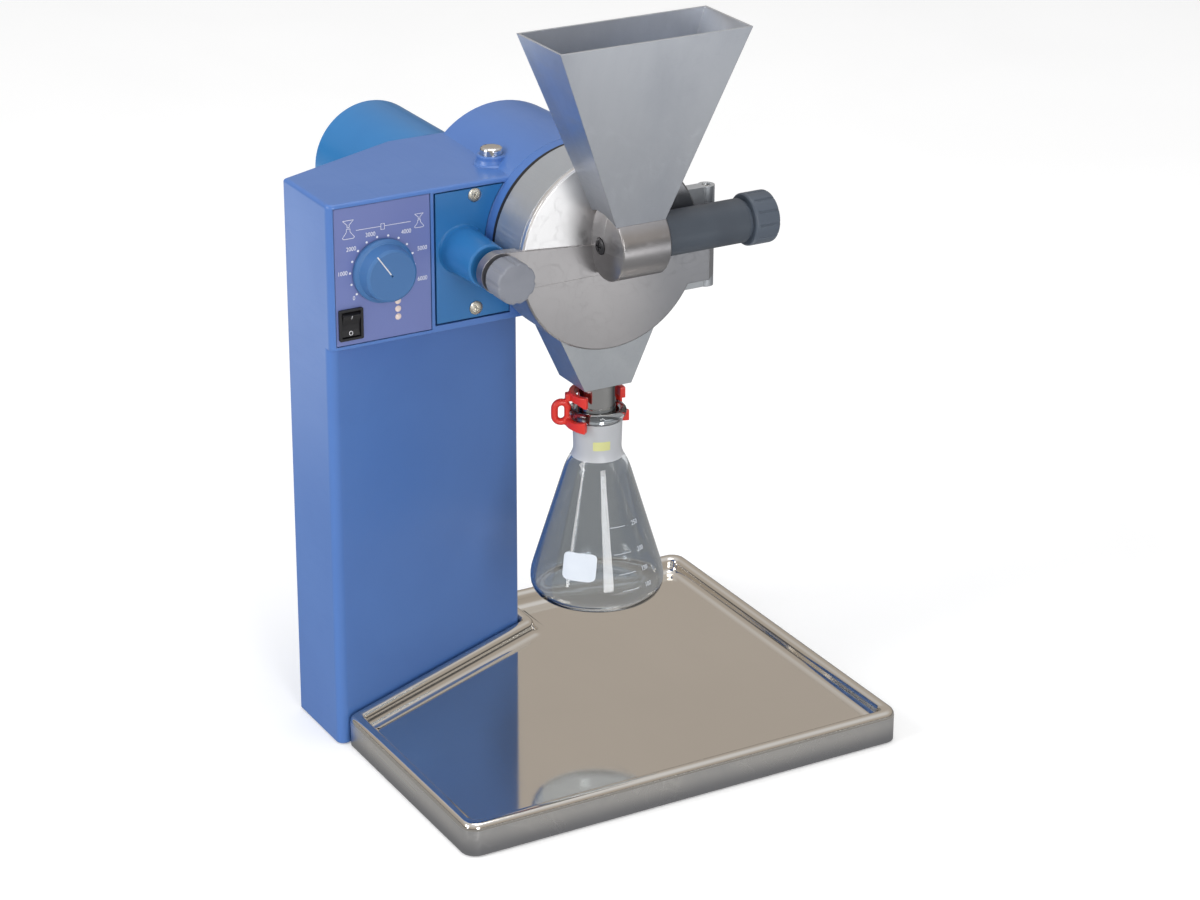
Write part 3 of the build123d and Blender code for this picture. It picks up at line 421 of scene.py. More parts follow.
# the spacer's front band is painted shade, black for the gap's shadow
collarValues = {"tone": (77, 118, 184), "drift": (73, 113, 179), "gapShade": (20, 20, 23), "line": 2.0, "fade": 0.2,
                "rough": (0.6, 0.34), "driftScale": 9, "grain": 1100, "coarse": 0.4, "relief": 0.2}
# painted highlight on the door's upper left and painted shade towards its hinge side
doorShade = {"line": 329.4, "lineFade": 0.3, "slope": 0.0818, "fade": (-26, 2), "paintedHighlightTone": (250, 250, 251),
             "paintedShade": (8, 62), "paintedShadeShare": 0.8, "paintedShadeTone": (138, 140, 145)}
# painted shade low on the tray's drawn wall
skirtShade = {"from": 2, "to": 15, "tone": (170, 170, 173)}
# painted reflection on the tube's sides, darker away from the view
tubeShade = {"facing": (0.22, 0.6), "tone": (74, 74, 76)}


def makeGlass(name, values):
    # clear wall tinted grey, a painted shade for the dark room seen through it; its ground joint frosted by height
    finish, tree, shader = newFinish(name)
    height = objectParts(tree)["Z"]
    low, high = values["frost"]
    fadeIn, fadeOut = values["frostFade"]
    rise = mapNode(tree, height, mm(low), mm(low + fadeIn))
    band = mathNode(tree, "MULTIPLY", rise, mapNode(tree, height, mm(high), mm(high + fadeOut), 1, 0))
    drift = driftTones(tree, values, values["driftScale"])
    tree.links.new(mixTones(tree, band, drift["Color"], tone(*values["frostTone"])), shader["Base Color"])
    tree.links.new(spread(tree, band, *values["rough"]), shader["Roughness"])
    shader["Transmission Weight"].default_value = 1
    shader["IOR"].default_value = values["refraction"]
    joinRelief(tree, shader, values["relief"], values["grain"], values["coarse"])
    return finish


def makeFrost(name, values):
    # ground glass laid over the clear wall
    finish, tree, shader = newFinish(name)
    drift = driftTones(tree, values, values["driftScale"], Stretch=values["stretch"])
    tree.links.new(drift["Color"], shader["Base Color"])
    tree.links.new(spread(tree, drift["Mask"], *values["rough"]), shader["Roughness"])
    tree.links.new(spread(tree, drift["Mask"], *values["cover"]), shader["Alpha"])
    joinRelief(tree, shader, values["relief"], values["grain"], values["coarse"])
    return finish


def makeCollar(name, values):
    # painted shade in front of the line, black for the shadow of the gap before the chamber; blue paint behind it
    finish, tree, shader = newFinish(name)
    line = values["line"] + shift
    side = mapNode(tree, objectParts(tree)["Y"], mm(line), mm(line + values["fade"]), smooth=False)
    drift = driftTones(tree, values, values["driftScale"])
    tree.links.new(mixTones(tree, side, tone(*values["gapShade"]), drift["Color"]), shader["Base Color"])
    tree.links.new(spread(tree, side, *values["rough"]), shader["Roughness"])
    joinRelief(tree, shader, values["relief"], values["grain"], values["coarse"])
    return finish


def paintOver(finish, mask, shade):
    tree = finish.node_tree
    colour = tree.nodes["Principled BSDF"].inputs["Base Color"]
    tree.links.new(mixTones(tree, mask, colour.links[0].from_socket, tone(*shade)), colour)


def shadeDoor(finish, values):
    # painted highlight: a bright sector over the arm; painted shade: darker towards the hinge
    tree = finish.node_tree
    parts = objectParts(tree)
    line = mathNode(tree, "MULTIPLY_ADD", parts["X"], values["slope"], parts["Z"])
    above = mapNode(tree, line, mm(values["line"]), mm(values["line"] + values["lineFade"]), smooth=False)
    left = mapNode(tree, parts["X"], mm(values["fade"][0]), mm(values["fade"][1]), 1, 0)
    paintedShade = mapNode(tree, parts["X"], mm(values["paintedShade"][0]), mm(values["paintedShade"][1]), 0, values["paintedShadeShare"])
    paintOver(finish, paintedShade, values["paintedShadeTone"])
    paintOver(finish, mathNode(tree, "MULTIPLY", above, left), values["paintedHighlightTone"])


def shadeSkirt(finish, values):
    # painted shade: the drawn wall darker towards its cut edge
    height = objectParts(finish.node_tree)["Z"]
    paintOver(finish, mapNode(finish.node_tree, height, mm(values["from"]), mm(values["to"]), 1, 0), values["tone"])


def shadeTube(finish, values):
    # painted reflection of the dark room: darker where the wall turns away from the view
    tree = finish.node_tree
    facing = addNode(tree, "ShaderNodeLayerWeight", Blend=0.5)
    paintOver(finish, mapNode(tree, facing.outputs["Facing"], *values["facing"]), values["tone"])


finishes = {}
for maker, kinds, skin in ((makeLacquer, lacquers, lacquerSkin), (makeMetal, metals, metalSkin),
                           (makePlastic, plastics, plasticSkin)):
    for name, values in kinds.items():
        finishes[name] = maker(name, values, skin)
shadeDoor(finishes["doorAluminium"], doorShade)
shadeSkirt(finishes["traySkirt"], skirtShade)
shadeTube(finishes["tubeChrome"], tubeShade)
finishes["clearGlass"] = makeGlass("clearGlass", glassValues)
finishes["frostedJoint"] = makeFrost("frostedJoint", frostValues)
finishes["collarPaintAndShade"] = makeCollar("collarPaintAndShade", collarValues)

nodeFinish = {
    "housingLacquer": ["drive_housing", "rear_panel"],
    "motorLacquer": ["motor_cover"],
    "clampLacquer": ["clamp_plate"],
    "knobMoulding": ["speed_knob"],
    "panelFilm": ["control_panel"],
    "doorAluminium": ["chamber_cover"],
    "castAluminium": ["grinding_chamber", "bearing_housing", "motor_bracket"],
    "sheetAluminium": ["hopper"],
    "trayStainless": ["drip_tray"],
    "tubeChrome": ["outlet_tube"],
    "brightChrome": ["lock_pin", "hinge_pin"],
    "plainSteel": ["base_plate", "base_screws", "rear_panel_screws", "clamp_plate_screws", "front_bearing",
                   "rear_bearing", "mill_shaft", "beater_rotor", "rotor_nut", "driven_pulley", "motor_shaft",
                   "drive_pulley", "chamber_screws", "sieve_ring", "lock_pin_spring", "clamp_screw",
                   "clamp_washer", "cooling_fan"],
    "coilCopper": ["motor_stator"],
    "graphitePlastic": ["feed_tube", "feed_knob", "feed_plunger"],
    "collarPaintAndShade": ["spacer_ring"],
    "blackPlastic": ["power_inlet", "switch_body", "switch_rocker", "feed_end_screw", "speed_potentiometer"],
    "greyPlastic": ["clamp_knob"],
    "clipRed": ["joint_clip"],
    "lampLens": ["indicator_lamps", "flask"],
    "footRubber": ["rubber_feet", "cover_seal", "shaft_seal", "drive_belt"],
    "boardGreen": ["control_board"],
}

for finishName, members in nodeFinish.items():
    for member in members:
        slots = nodes[member].data.materials
        for index in range(max(1, len(slots))):
            if len(slots):
                slots[index] = finishes[finishName]
            else:
                slots.append(finishes[finishName])
missed = sorted(set(nodes) - set(name for members in nodeFinish.values() for name in members))
print("finishes made:", len(finishes), "nodes without one:", missed)

# pieces: drawn in millimetres about a local axis, then settled into the frame

facings = {
    "up": Matrix.Identity(4),
    "front": Matrix.Rotation(math.radians(90), 4, "X"),
    "right": Matrix.Rotation(math.radians(90), 4, "Y"),
}
toMetres = Matrix.Scale(0.001, 4)


def settle(mesh, origin=(0, 0, 0), turn=facings["up"]):
    mesh.transform(Matrix.Translation(at(*origin)) @ toMetres @ turn)
    mesh.update()
    return mesh


def showPiece(name, mesh, finish, body, stands=()):
    item = linked(name, mesh)
    if not len(mesh.materials):
        mesh.materials.append(finishes[finish])
    if stands:
        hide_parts(*stands)
    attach(item, body)
    return item


def meshFrom(work, name):
    mesh = bpy.data.meshes.new(name)
    work.to_mesh(mesh)
    work.free()
    return mesh


def plainCopy(holder):
    # the mesh that a holder shows; its modifiers and the holder go
    graph = bpy.context.evaluated_depsgraph_get()
    mesh = bpy.data.meshes.new_from_object(holder.evaluated_get(graph), depsgraph=graph)
    holder.modifiers.clear()
    bpy.data.objects.remove(holder)
    return mesh


def growTree(name, inputs):
    tree = bpy.data.node_groups.new(name, "GeometryNodeTree")
    tree.interface.new_socket("Geometry", in_out="INPUT", socket_type="NodeSocketGeometry")
    for label, kind, value in inputs:
        socket = tree.interface.new_socket(label, in_out="INPUT", socket_type=kind)
        if value is not None:
            socket.default_value = value
    tree.interface.new_socket("Geometry", in_out="OUTPUT", socket_type="NodeSocketGeometry")
    return tree, tree.nodes.new("NodeGroupInput").outputs, tree.nodes.new("NodeGroupOutput").inputs


def firstOf(tree, kind, values=None, **sockets):
    return addNode(tree, kind, values, **sockets).outputs[0]


def joinMeshes(tree, operation, parts, trunk=None):
    node = addNode(tree, "GeometryNodeMeshBoolean", {"operation": operation})
    if trunk is not None:
        tree.links.new(trunk, node.inputs[0])
    for part in parts:
        tree.links.new(part, node.inputs[1])
    return node.outputs[0]


def endTree(tree, end, geometry, material):
    real = firstOf(tree, "GeometryNodeRealizeInstances", Geometry=geometry)
    coat = firstOf(tree, "GeometryNodeSetMaterial", Geometry=real, Material=material)
    tree.links.new(coat, end["Geometry"])


def grow(tree, seeds, values, name):
    # runs a tree over its seed points and keeps the plain mesh
    mesh = bpy.data.meshes.new(name + "Seeds")
    mesh.from_pydata(seeds, [], [])
    holder = linked(name + "Holder", mesh)
    modifier = holder.modifiers.new("grow", "NODES")
    modifier.node_group = tree
    for item in tree.interface.items_tree:
        if item.item_type == "SOCKET" and item.in_out == "INPUT" and item.name in values:
            modifier[item.identifier] = values[item.name]
    grown = plainCopy(holder)
    grown.name = name
    return grown


def makeDotTree():
    # flat dots along an arc that faces the front
    tree, start, end = growTree("dialDots", [
        ("Count", "NodeSocketInt", 13), ("Radius", "NodeSocketFloat", 20.0), ("First Angle", "NodeSocketFloat", 3.77),
        ("Sweep", "NodeSocketFloat", -4.1), ("Dot Radius", "NodeSocketFloat", 0.7),
        ("Material", "NodeSocketMaterial", None),
    ])
    index = firstOf(tree, "GeometryNodeInputIndex")
    share = mathNode(tree, "DIVIDE", index, mathNode(tree, "SUBTRACT", start["Count"], 1.0))
    angle = mathNode(tree, "MULTIPLY_ADD", share, start["Sweep"], start["First Angle"])
    across = mathNode(tree, "MULTIPLY", mathNode(tree, "COSINE", angle), start["Radius"])
    high = mathNode(tree, "MULTIPLY", mathNode(tree, "SINE", angle), start["Radius"])
    place = firstOf(tree, "ShaderNodeCombineXYZ", X=across, Z=high)
    points = firstOf(tree, "GeometryNodePoints", Count=start["Count"], Position=place)
    dot = firstOf(tree, "GeometryNodeMeshCircle", {"fill_type": "NGON"}, Vertices=20, Radius=start["Dot Radius"])
    copies = firstOf(tree, "GeometryNodeInstanceOnPoints", Points=points, Instance=dot,
                     Rotation=(math.radians(90), 0, 0))
    endTree(tree, end, copies, start["Material"])
    return tree


screwForm = {"sides": 48, "domeRings": 16, "domeShare": 0.97, "domeLift": 0.48, "recessLift": 0.9, "mostTurn": 1.57}


def makeScrewTree(form):
    # crowned heads with a cross recess at the seed points, each turned differently
    tree, start, end = growTree("crossScrews", [
        ("Head Radius", "NodeSocketFloat", 4.4), ("Rim", "NodeSocketFloat", 0.5), ("Crown", "NodeSocketFloat", 0.5),
        ("Recess", "NodeSocketFloat", 4.4), ("Recess Width", "NodeSocketFloat", 0.9),
        ("Recess Depth", "NodeSocketFloat", 1.6), ("Facing", "NodeSocketFloat", 1.5708),
        ("Seed", "NodeSocketInt", 4), ("Material", "NodeSocketMaterial", None),
    ])
    rim = firstOf(tree, "GeometryNodeMeshCylinder", Vertices=form["sides"], Radius=start["Head Radius"],
                  Depth=start["Rim"])
    dome = firstOf(tree, "GeometryNodeMeshUVSphere", Segments=form["sides"], Rings=form["domeRings"],
                   Radius=start["Head Radius"])
    flat = mathNode(tree, "DIVIDE", start["Crown"], start["Head Radius"])
    squeeze = firstOf(tree, "ShaderNodeCombineXYZ", X=form["domeShare"], Y=form["domeShare"], Z=flat)
    lift = firstOf(tree, "ShaderNodeCombineXYZ", Z=mathNode(tree, "MULTIPLY", start["Rim"], form["domeLift"]))
    crown = firstOf(tree, "GeometryNodeTransform", Geometry=dome, Translation=lift, Scale=squeeze)
    head = joinMeshes(tree, "UNION", (rim, crown))
    arms = []
    for turn in (0, 90):
        size = firstOf(tree, "ShaderNodeCombineXYZ", X=start["Recess"], Y=start["Recess Width"],
                       Z=start["Recess Depth"])
        bar = firstOf(tree, "GeometryNodeMeshCube", Size=size)
        arms.append(firstOf(tree, "GeometryNodeTransform", Geometry=bar, Translation=(0, 0, form["recessLift"]),
                            Rotation=(0, 0, math.radians(turn))))
    cut = joinMeshes(tree, "DIFFERENCE", arms, head)
    spin = addNode(tree, "FunctionNodeRandomValue", {"data_type": "FLOAT"}, Seed=start["Seed"])
    spin.inputs[2].default_value = 0
    spin.inputs[3].default_value = form["mostTurn"]
    face = firstOf(tree, "ShaderNodeCombineXYZ", X=start["Facing"])
    copies = firstOf(tree, "GeometryNodeInstanceOnPoints", Points=start["Geometry"], Instance=cut, Rotation=face)
    turnBy = firstOf(tree, "ShaderNodeCombineXYZ", Z=spin.outputs[1])
    turned = firstOf(tree, "GeometryNodeRotateInstances", Instances=copies, Rotation=turnBy)
    endTree(tree, end, turned, start["Material"])
    return tree


def makeTurnedTree():
    # turns a profile about its axis; seeds hold radius, share of flute and height, the outside going up
    tree, start, end = growTree("turnedForm", [
        ("Segments", "NodeSocketInt", 96), ("Flutes", "NodeSocketInt", 0), ("Flute Depth", "NodeSocketFloat", 0.0),
        ("Flute Share", "NodeSocketFloat", 0.4), ("Material", "NodeSocketMaterial", None),
    ])

    def calc(operation, *values):
        return mathNode(tree, operation, *values)

    seeds = start["Geometry"]
    size = addNode(tree, "GeometryNodeAttributeDomainSize", {"component": "MESH"}, Geometry=seeds)
    rows = size.outputs["Point Count"]
    grid = firstOf(tree, "GeometryNodeMeshGrid", Size_X=1.0, Size_Y=1.0,
                   Vertices_X=calc("ADD", start["Segments"], 1.0), Vertices_Y=rows)
    place = firstOf(tree, "GeometryNodeInputPosition")
    parts = addNode(tree, "ShaderNodeSeparateXYZ", Vector=place).outputs
    around = calc("ADD", parts["X"], 0.5)
    along = calc("MULTIPLY", calc("ADD", parts["Y"], 0.5), calc("SUBTRACT", rows, 1.0))
    pick = firstOf(tree, "GeometryNodeSampleIndex", {"data_type": "FLOAT_VECTOR", "domain": "POINT"},
                   Geometry=seeds, Value=place, Index=calc("ROUND", along))
    profile = addNode(tree, "ShaderNodeSeparateXYZ", Vector=pick).outputs
    turn = calc("MULTIPLY", around, start["Flutes"])
    phase = calc("ABSOLUTE", calc("SUBTRACT", calc("FRACT", calc("ADD", turn, 0.5)), 0.5))
    reach = calc("DIVIDE", phase, calc("MULTIPLY", start["Flute Share"], 0.5))
    bowl = calc("MAXIMUM", calc("SUBTRACT", 1.0, calc("MULTIPLY", reach, reach)), 0.0)
    cut = calc("MULTIPLY", calc("MULTIPLY", bowl, start["Flute Depth"]), profile["Y"])
    radius = calc("SUBTRACT", profile["X"], cut)
    angle = calc("MULTIPLY", around, math.tau)
    spot = firstOf(tree, "ShaderNodeCombineXYZ", X=calc("MULTIPLY", radius, calc("COSINE", angle)),
                   Y=calc("MULTIPLY", radius, calc("SINE", angle)), Z=profile["Z"])
    moved = firstOf(tree, "GeometryNodeSetPosition", Geometry=grid, Position=spot)
    closed = firstOf(tree, "GeometryNodeMergeByDistance", Geometry=moved, Distance=0.01)
    endTree(tree, end, closed, start["Material"])
    return tree


dotTree = makeDotTree()
screwTree = makeScrewTree(screwForm)
turnedTree = makeTurnedTree()


def smoothBy(mesh, degrees):
    # smooth faces, with sharp edges where two faces meet at a steeper angle
    work = bmesh.new()
    work.from_mesh(mesh)
    bmesh.ops.recalc_face_normals(work, faces=work.faces)
    for face in work.faces:
        face.smooth = True
    for edge in work.edges:
        edge.smooth = len(edge.link_faces) == 2 and edge.calc_face_angle(0) < math.radians(degrees)
    work.to_mesh(mesh)
    work.free()
    return mesh


def smoothAll(mesh):
    for face in mesh.polygons:
        face.use_smooth = True
    return mesh


def turnMesh(name, profile, finish, segments, flutes=0, depth=0.0, share=0.4):
    # profile rows are radius and height, then the share of the flute depth
    seeds = [(spot[0], spot[2] if len(spot) > 2 else 0, spot[1]) for spot in profile]
    return grow(turnedTree, seeds, {"Segments": segments, "Flutes": flutes, "Flute Depth": float(depth),
                                    "Flute Share": float(share), "Material": finishes[finish]}, name)


def roundProfile(corners, steps, limit=0.48):
    # corners are (radius, height, rounding); each one becomes a short arc, kept inside its two sides
    line = []
    for index, corner in enumerate(corners):
        here = Vector(corner[:2])
        soft = corner[2] if len(corner) > 2 else 0
        if soft == 0 or index in (0, len(corners) - 1):
            line.append(tuple(here))
            continue
        sides = [Vector(corners[near][:2]) - here for near in (index - 1, index + 1)]
        first, last = (here + side.normalized() * min(soft, side.length * limit) for side in sides)
        for step in range(steps + 1):
            t = step / steps
            line.append(tuple(first * (1 - t) ** 2 + here * 2 * t * (1 - t) + last * t * t))
    return line


# print on the dial panel: dots, numbers, a rule and two small pictures of a funnel over a flask
dialPrint = {
    "centre": (-122.5, 318),
    "dots": 13,
    "dotRing": 21.7,
    "dotRadius": 0.72,
    "sweepFrom": 216,
    "sweep": -236,
    "numberSize": 3.9,
    "numberStretch": 0.86,
    "numbers": {"0": (-141.9, 302.9), "1000": (-149.1, 319.8), "2000": (-143.0, 334.6), "3000": (-130.0, 341.8),
                "4000": (-106.0, 339.8), "5000": (-95.4, 327.4), "6000": (-95.6, 307.8)},
    "rules": [[(-139.4, 346.0), (-122.9, 345.86)], [(-120.5, 345.84), (-103.0, 345.7)],
              [(-121.9, 347.4), (-122.9, 347.4), (-122.9, 343.8), (-121.9, 343.8)],
              [(-121.5, 347.4), (-120.5, 347.4), (-120.5, 343.8), (-121.5, 343.8)]],
    "ruleWidth": 0.3,
    "pictures": [{"x": -144.6, "top": 353.0, "bottom": 341.4, "half": 4.0},
                 {"x": -97.2, "top": 349.8, "bottom": 341.0, "half": 3.2}],
    "pictureWidth": 0.28,
    "face": 10.44,
}
# funnel and flask as shares of a picture's half width and of its height from the top
pictureLines = [
    [(-0.9, 0), (0.9, 0), (0.18, 0.24), (0.18, 0.38), (-0.18, 0.38), (-0.18, 0.24)],
    [(-0.3, 0.46), (0.3, 0.46), (0.3, 0.62), (1, 0.93), (0.8, 1), (-0.8, 1), (-1, 0.93), (-0.3, 0.62)],
]


def textMesh(words, size, stretch):
    curve = bpy.data.curves.new("lettering", "FONT")
    curve.body = words
    curve.size = size
    curve.align_x = "CENTER"
    curve.align_y = "CENTER"
    curve.resolution_u = 3
    mesh = plainCopy(linked("lettering", curve))
    mesh.materials.clear()
    mesh.transform(Matrix.Diagonal((stretch, 1, 1, 1)))
    return mesh


def strokeFaces(work, line, width, closed=False):
    # a flat ribbon along a line in the local xy plane
    count = len(line)
    for index in range(count if closed else count - 1):
        first, last = Vector(line[index]), Vector(line[(index + 1) % count])
        ahead = (last - first).normalized() * width * 0.5
        side = Vector((-ahead.y, ahead.x))
        near, far = first - ahead * 0.5, last + ahead * 0.5
        corners = [near - side, far - side, far + side, near + side]
        face = work.faces.new([work.verts.new((spot.x, spot.y, 0)) for spot in corners])
        if face.normal.z < 0:
            face.normal_flip()


def drawPicture(work, values, width):
    height = values["top"] - values["bottom"]
    for outline in pictureLines:
        line = [(values["x"] + values["half"] * across, values["top"] - height * down) for across, down in outline]
        strokeFaces(work, line, width, True)


def makeDialPrint(values):
    x, z = values["centre"]
    dots = grow(dotTree, [], {
        "Count": values["dots"], "Radius": float(values["dotRing"]), "First Angle": math.radians(values["sweepFrom"]),
        "Sweep": math.radians(values["sweep"]), "Dot Radius": float(values["dotRadius"]),
        "Material": finishes["whitePrint"],
    }, "dialDots")
    pieces = {"dialDots": settle(dots, (x, values["face"], z))}
    for words, (x, z) in values["numbers"].items():
        mesh = textMesh(words, values["numberSize"], values["numberStretch"])
        pieces["dialNumber" + words] = settle(mesh, (x, values["face"], z), facings["front"])
    work = bmesh.new()
    for line in values["rules"]:
        strokeFaces(work, line, values["ruleWidth"])
    for picture in values["pictures"]:
        drawPicture(work, picture, values["pictureWidth"])
    pieces["dialRule"] = settle(meshFrom(work, "dialRule"), (0, values["face"], 0), facings["front"])
    for name, mesh in pieces.items():
        showPiece(name, mesh, "whitePrint", "frame")


makeDialPrint(dialPrint)

# pale inlay in the groove of the speed knob, and the I and O on the power switch
knobMark = {"angle": 125, "from": 1.4, "to": 16.9, "width": 0.8, "face": -3.72, "depth": 0.35, "soft": 0.08}
# low and high are the ends of the rocker's upper slope in its own x and y; share is the mark's place on it
switchMarks = {"size": 4.0, "stretch": 0.9, "place": (-144.7, 12, 286.8), "tilt": 10, "proud": 0.04,
               "low": (-2.4, 3.4), "high": (-3.6, 7.2), "share": 0.55}


def boxVerts(work, box):
    # a cube with its corners at x0, x1, y0, y1, z0, z1
    verts = bmesh.ops.create_cube(work, size=1)["verts"]
    for vert in verts:
        vert.co = [low + (part + 0.5) * (high - low) for part, low, high in zip(vert.co, box[::2], box[1::2])]
    return verts


def makeKnobMark(values):
    work = bmesh.new()
    half = values["width"] / 2
    boxVerts(work, (values["from"], values["to"], -half, half, 0, values["depth"]))
    bmesh.ops.bevel(work, geom=work.edges[:], offset=values["soft"], segments=2, affect="EDGES")
    mesh = meshFrom(work, "knobMark")
    mesh.transform(Matrix.Rotation(math.radians(values["angle"]), 4, "Z"))
    x, z = dialPrint["centre"]
    settle(mesh, (x, values["face"] + values["depth"], z), facings["front"])
    showPiece("knobMark", mesh, "whitePrint", "speed_knob")


def makeSwitchMarks(values):
    tilt = math.radians(values["tilt"])
    along = Vector((0, math.cos(tilt), math.sin(tilt)))  # rocker's local x
    upward = Vector((0, -math.sin(tilt), math.cos(tilt)))  # rocker's local y
    for words, side in (("I", 1), ("O", -1)):
        low, high = (Vector((values[end][0], values[end][1] * side)) for end in ("low", "high"))
        middle = low * (1 - values["share"]) + high * values["share"]
        run = ((high - low) * side).normalized()
        face = (along * run.x + upward * run.y).normalized()
        right = Vector((1, 0, 0))
        out = right.cross(face).normalized()
        spot = Vector(values["place"]) + along * middle.x + upward * middle.y + out * values["proud"]
        mesh = textMesh(words, values["size"], values["stretch"])
        settle(mesh, spot, Matrix((right, face, out)).transposed().to_4x4())
        showPiece("switchMark" + words, mesh, "whitePrint", "switch_rocker")


makeKnobMark(knobMark)
makeSwitchMarks(switchMarks)
print("print and marks ready")

# crossed screw heads over the plain ones; side is 1 towards the front and -1 towards the back
screwSets = {
    "clampPlateHeads": {"node": "clamp_plate_screws", "side": 1, "y": 10.55, "places": [(-59, 355.5), (-59, 282)],
                        "radius": 4.4, "rim": 0.5, "crown": 0.55, "recess": 4.6, "width": 0.85},
    "rearPanelHeads": {"node": "rear_panel_screws", "side": -1, "y": 113.9,
                       "places": [(-58, 64), (-2, 64), (-58, 246), (-2, 246)],
                       "radius": 3.3, "rim": 0.7, "crown": 0.9, "recess": 3.8, "width": 0.75},
}
screwFinish, screwSeed, screwSharp = "zincScrew", 7, 40


def makeScrewHeads(sets):
    for name, values in sets.items():
        mesh = grow(screwTree, [(x, values["y"], z) for x, z in values["places"]], {
            "Head Radius": values["radius"], "Rim": values["rim"], "Crown": values["crown"],
            "Recess": values["recess"], "Recess Width": values["width"], "Facing": values["side"] * math.pi / 2,
            "Seed": screwSeed, "Material": finishes[screwFinish],
        }, name)
        smoothBy(settle(mesh), screwSharp)
        showPiece(name, mesh, screwFinish, "frame", [values["node"]])


makeScrewHeads(screwSets)

# fluted clamp knob and grooved feed knob; flutes run near the rim and above a height
clampKnob = {"place": (-68.5, -44.4, 322), "facing": "front", "radius": 13, "segments": 192, "flutes": 8,
             "depth": 0.8, "share": 0.36, "rimBand": 2.4, "fluteFrom": 1.2, "sharp": 50}
feedKnob = {"place": (0, -55, 334), "facing": "right", "radius": 16.6, "segments": 336, "flutes": 12,
            "depth": 0.75, "share": 0.2, "rimBand": 1.6, "fluteFrom": 96.4, "sharp": 42}


def gripMesh(name, values, corners, finish):
    fluted = values["radius"] - values["rimBand"]
    profile = [(r, h, float(r > fluted and h > values["fluteFrom"])) for r, h in roundProfile(corners, 4)]
    mesh = turnMesh(name, profile, finish, values["segments"], values["flutes"], values["depth"], values["share"])
    return settle(smoothBy(mesh, values["sharp"]), values["place"], facings[values["facing"]])


def makeClampKnob(values):
    # heights run from the back of the knob to its face
    radius = values["radius"]
    corners = [(0, 0), (8, 0, 0.4), (12, 0.6, 0.5), (radius, 1.6, 0.7), (radius, 17.0, 1.1),
               (radius - 1, 17.6, 0.6), (0, 17.6)]
    mesh = gripMesh("clampKnobGrip", values, corners, "greyPlastic")
    showPiece("clampKnobGrip", mesh, "greyPlastic", "clamp_screw", ["clamp_knob"])


def makeFeedKnob(values):
    # heights are drawing x, up to the face of the knob
    radius = values["radius"]
    corners = [(0, 50), (4, 50, 0.3), (4, 91.4), (12.4, 91.4, 0.4), (12.4, 93.4), (radius - 0.8, 93.4, 0.3),
               (radius, 94.4, 0.5), (radius, 96.3), (radius, 96.5), (radius, 110.0, 0.9),
               (radius - 1.4, 111.4, 0.9), (radius - 3, 111.4, 0.3), (radius - 3.4, 111.0, 0.3), (0, 110.9)]
    mesh = gripMesh("feedKnobGrip", values, corners, "gripPlastic")
    showPiece("feedKnobGrip", mesh, "gripPlastic", "feed_knob", ["feed_knob"])


makeClampKnob(clampKnob)
makeFeedKnob(feedKnob)
print("screws and knobs ready")

# coil under the press pin
pinSpring = {"turns": 4.0, "radius": 6.2, "wire": 0.65, "sharp": 40, "keep": 0.74}


def makeSpringTree():
    tree, start, end = growTree("coilSpring", [
        ("Turns", "NodeSocketFloat", 4.0), ("Radius", "NodeSocketFloat", 6.2), ("Height", "NodeSocketFloat", 14.2),
        ("Wire", "NodeSocketFloat", 0.65), ("Material", "NodeSocketMaterial", None),
    ])
    coil = firstOf(tree, "GeometryNodeCurveSpiral", Resolution=36, Rotations=start["Turns"],
                   Start_Radius=start["Radius"], End_Radius=start["Radius"], Height=start["Height"])
    ring = firstOf(tree, "GeometryNodeCurvePrimitiveCircle", Resolution=12, Radius=start["Wire"])
    wire = firstOf(tree, "GeometryNodeCurveToMesh", Curve=coil, Profile_Curve=ring, Fill_Caps=True)
    endTree(tree, end, wire, start["Material"])
    return tree


def makePinSpring(values):
    low, high = (Vector(corner) * 1000 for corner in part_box("lock_pin_spring"))
    middle = (low + high) / 2
    mesh = grow(makeSpringTree(), [(0, 0, 0)], {
        "Turns": values["turns"], "Radius": values["radius"], "Height": high.z - low.z - 2 * values["wire"],
        "Wire": values["wire"], "Material": finishes["plainSteel"],
    }, "pinSpring")
    smoothBy(mesh, values["sharp"])
    settle(mesh, (middle.x, middle.y - shift, low.z + values["wire"]))
    spring = showPiece("pinSpring", mesh, "plainSteel", "frame", ["lock_pin_spring"])
    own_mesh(spring)


makePinSpring(pinSpring)

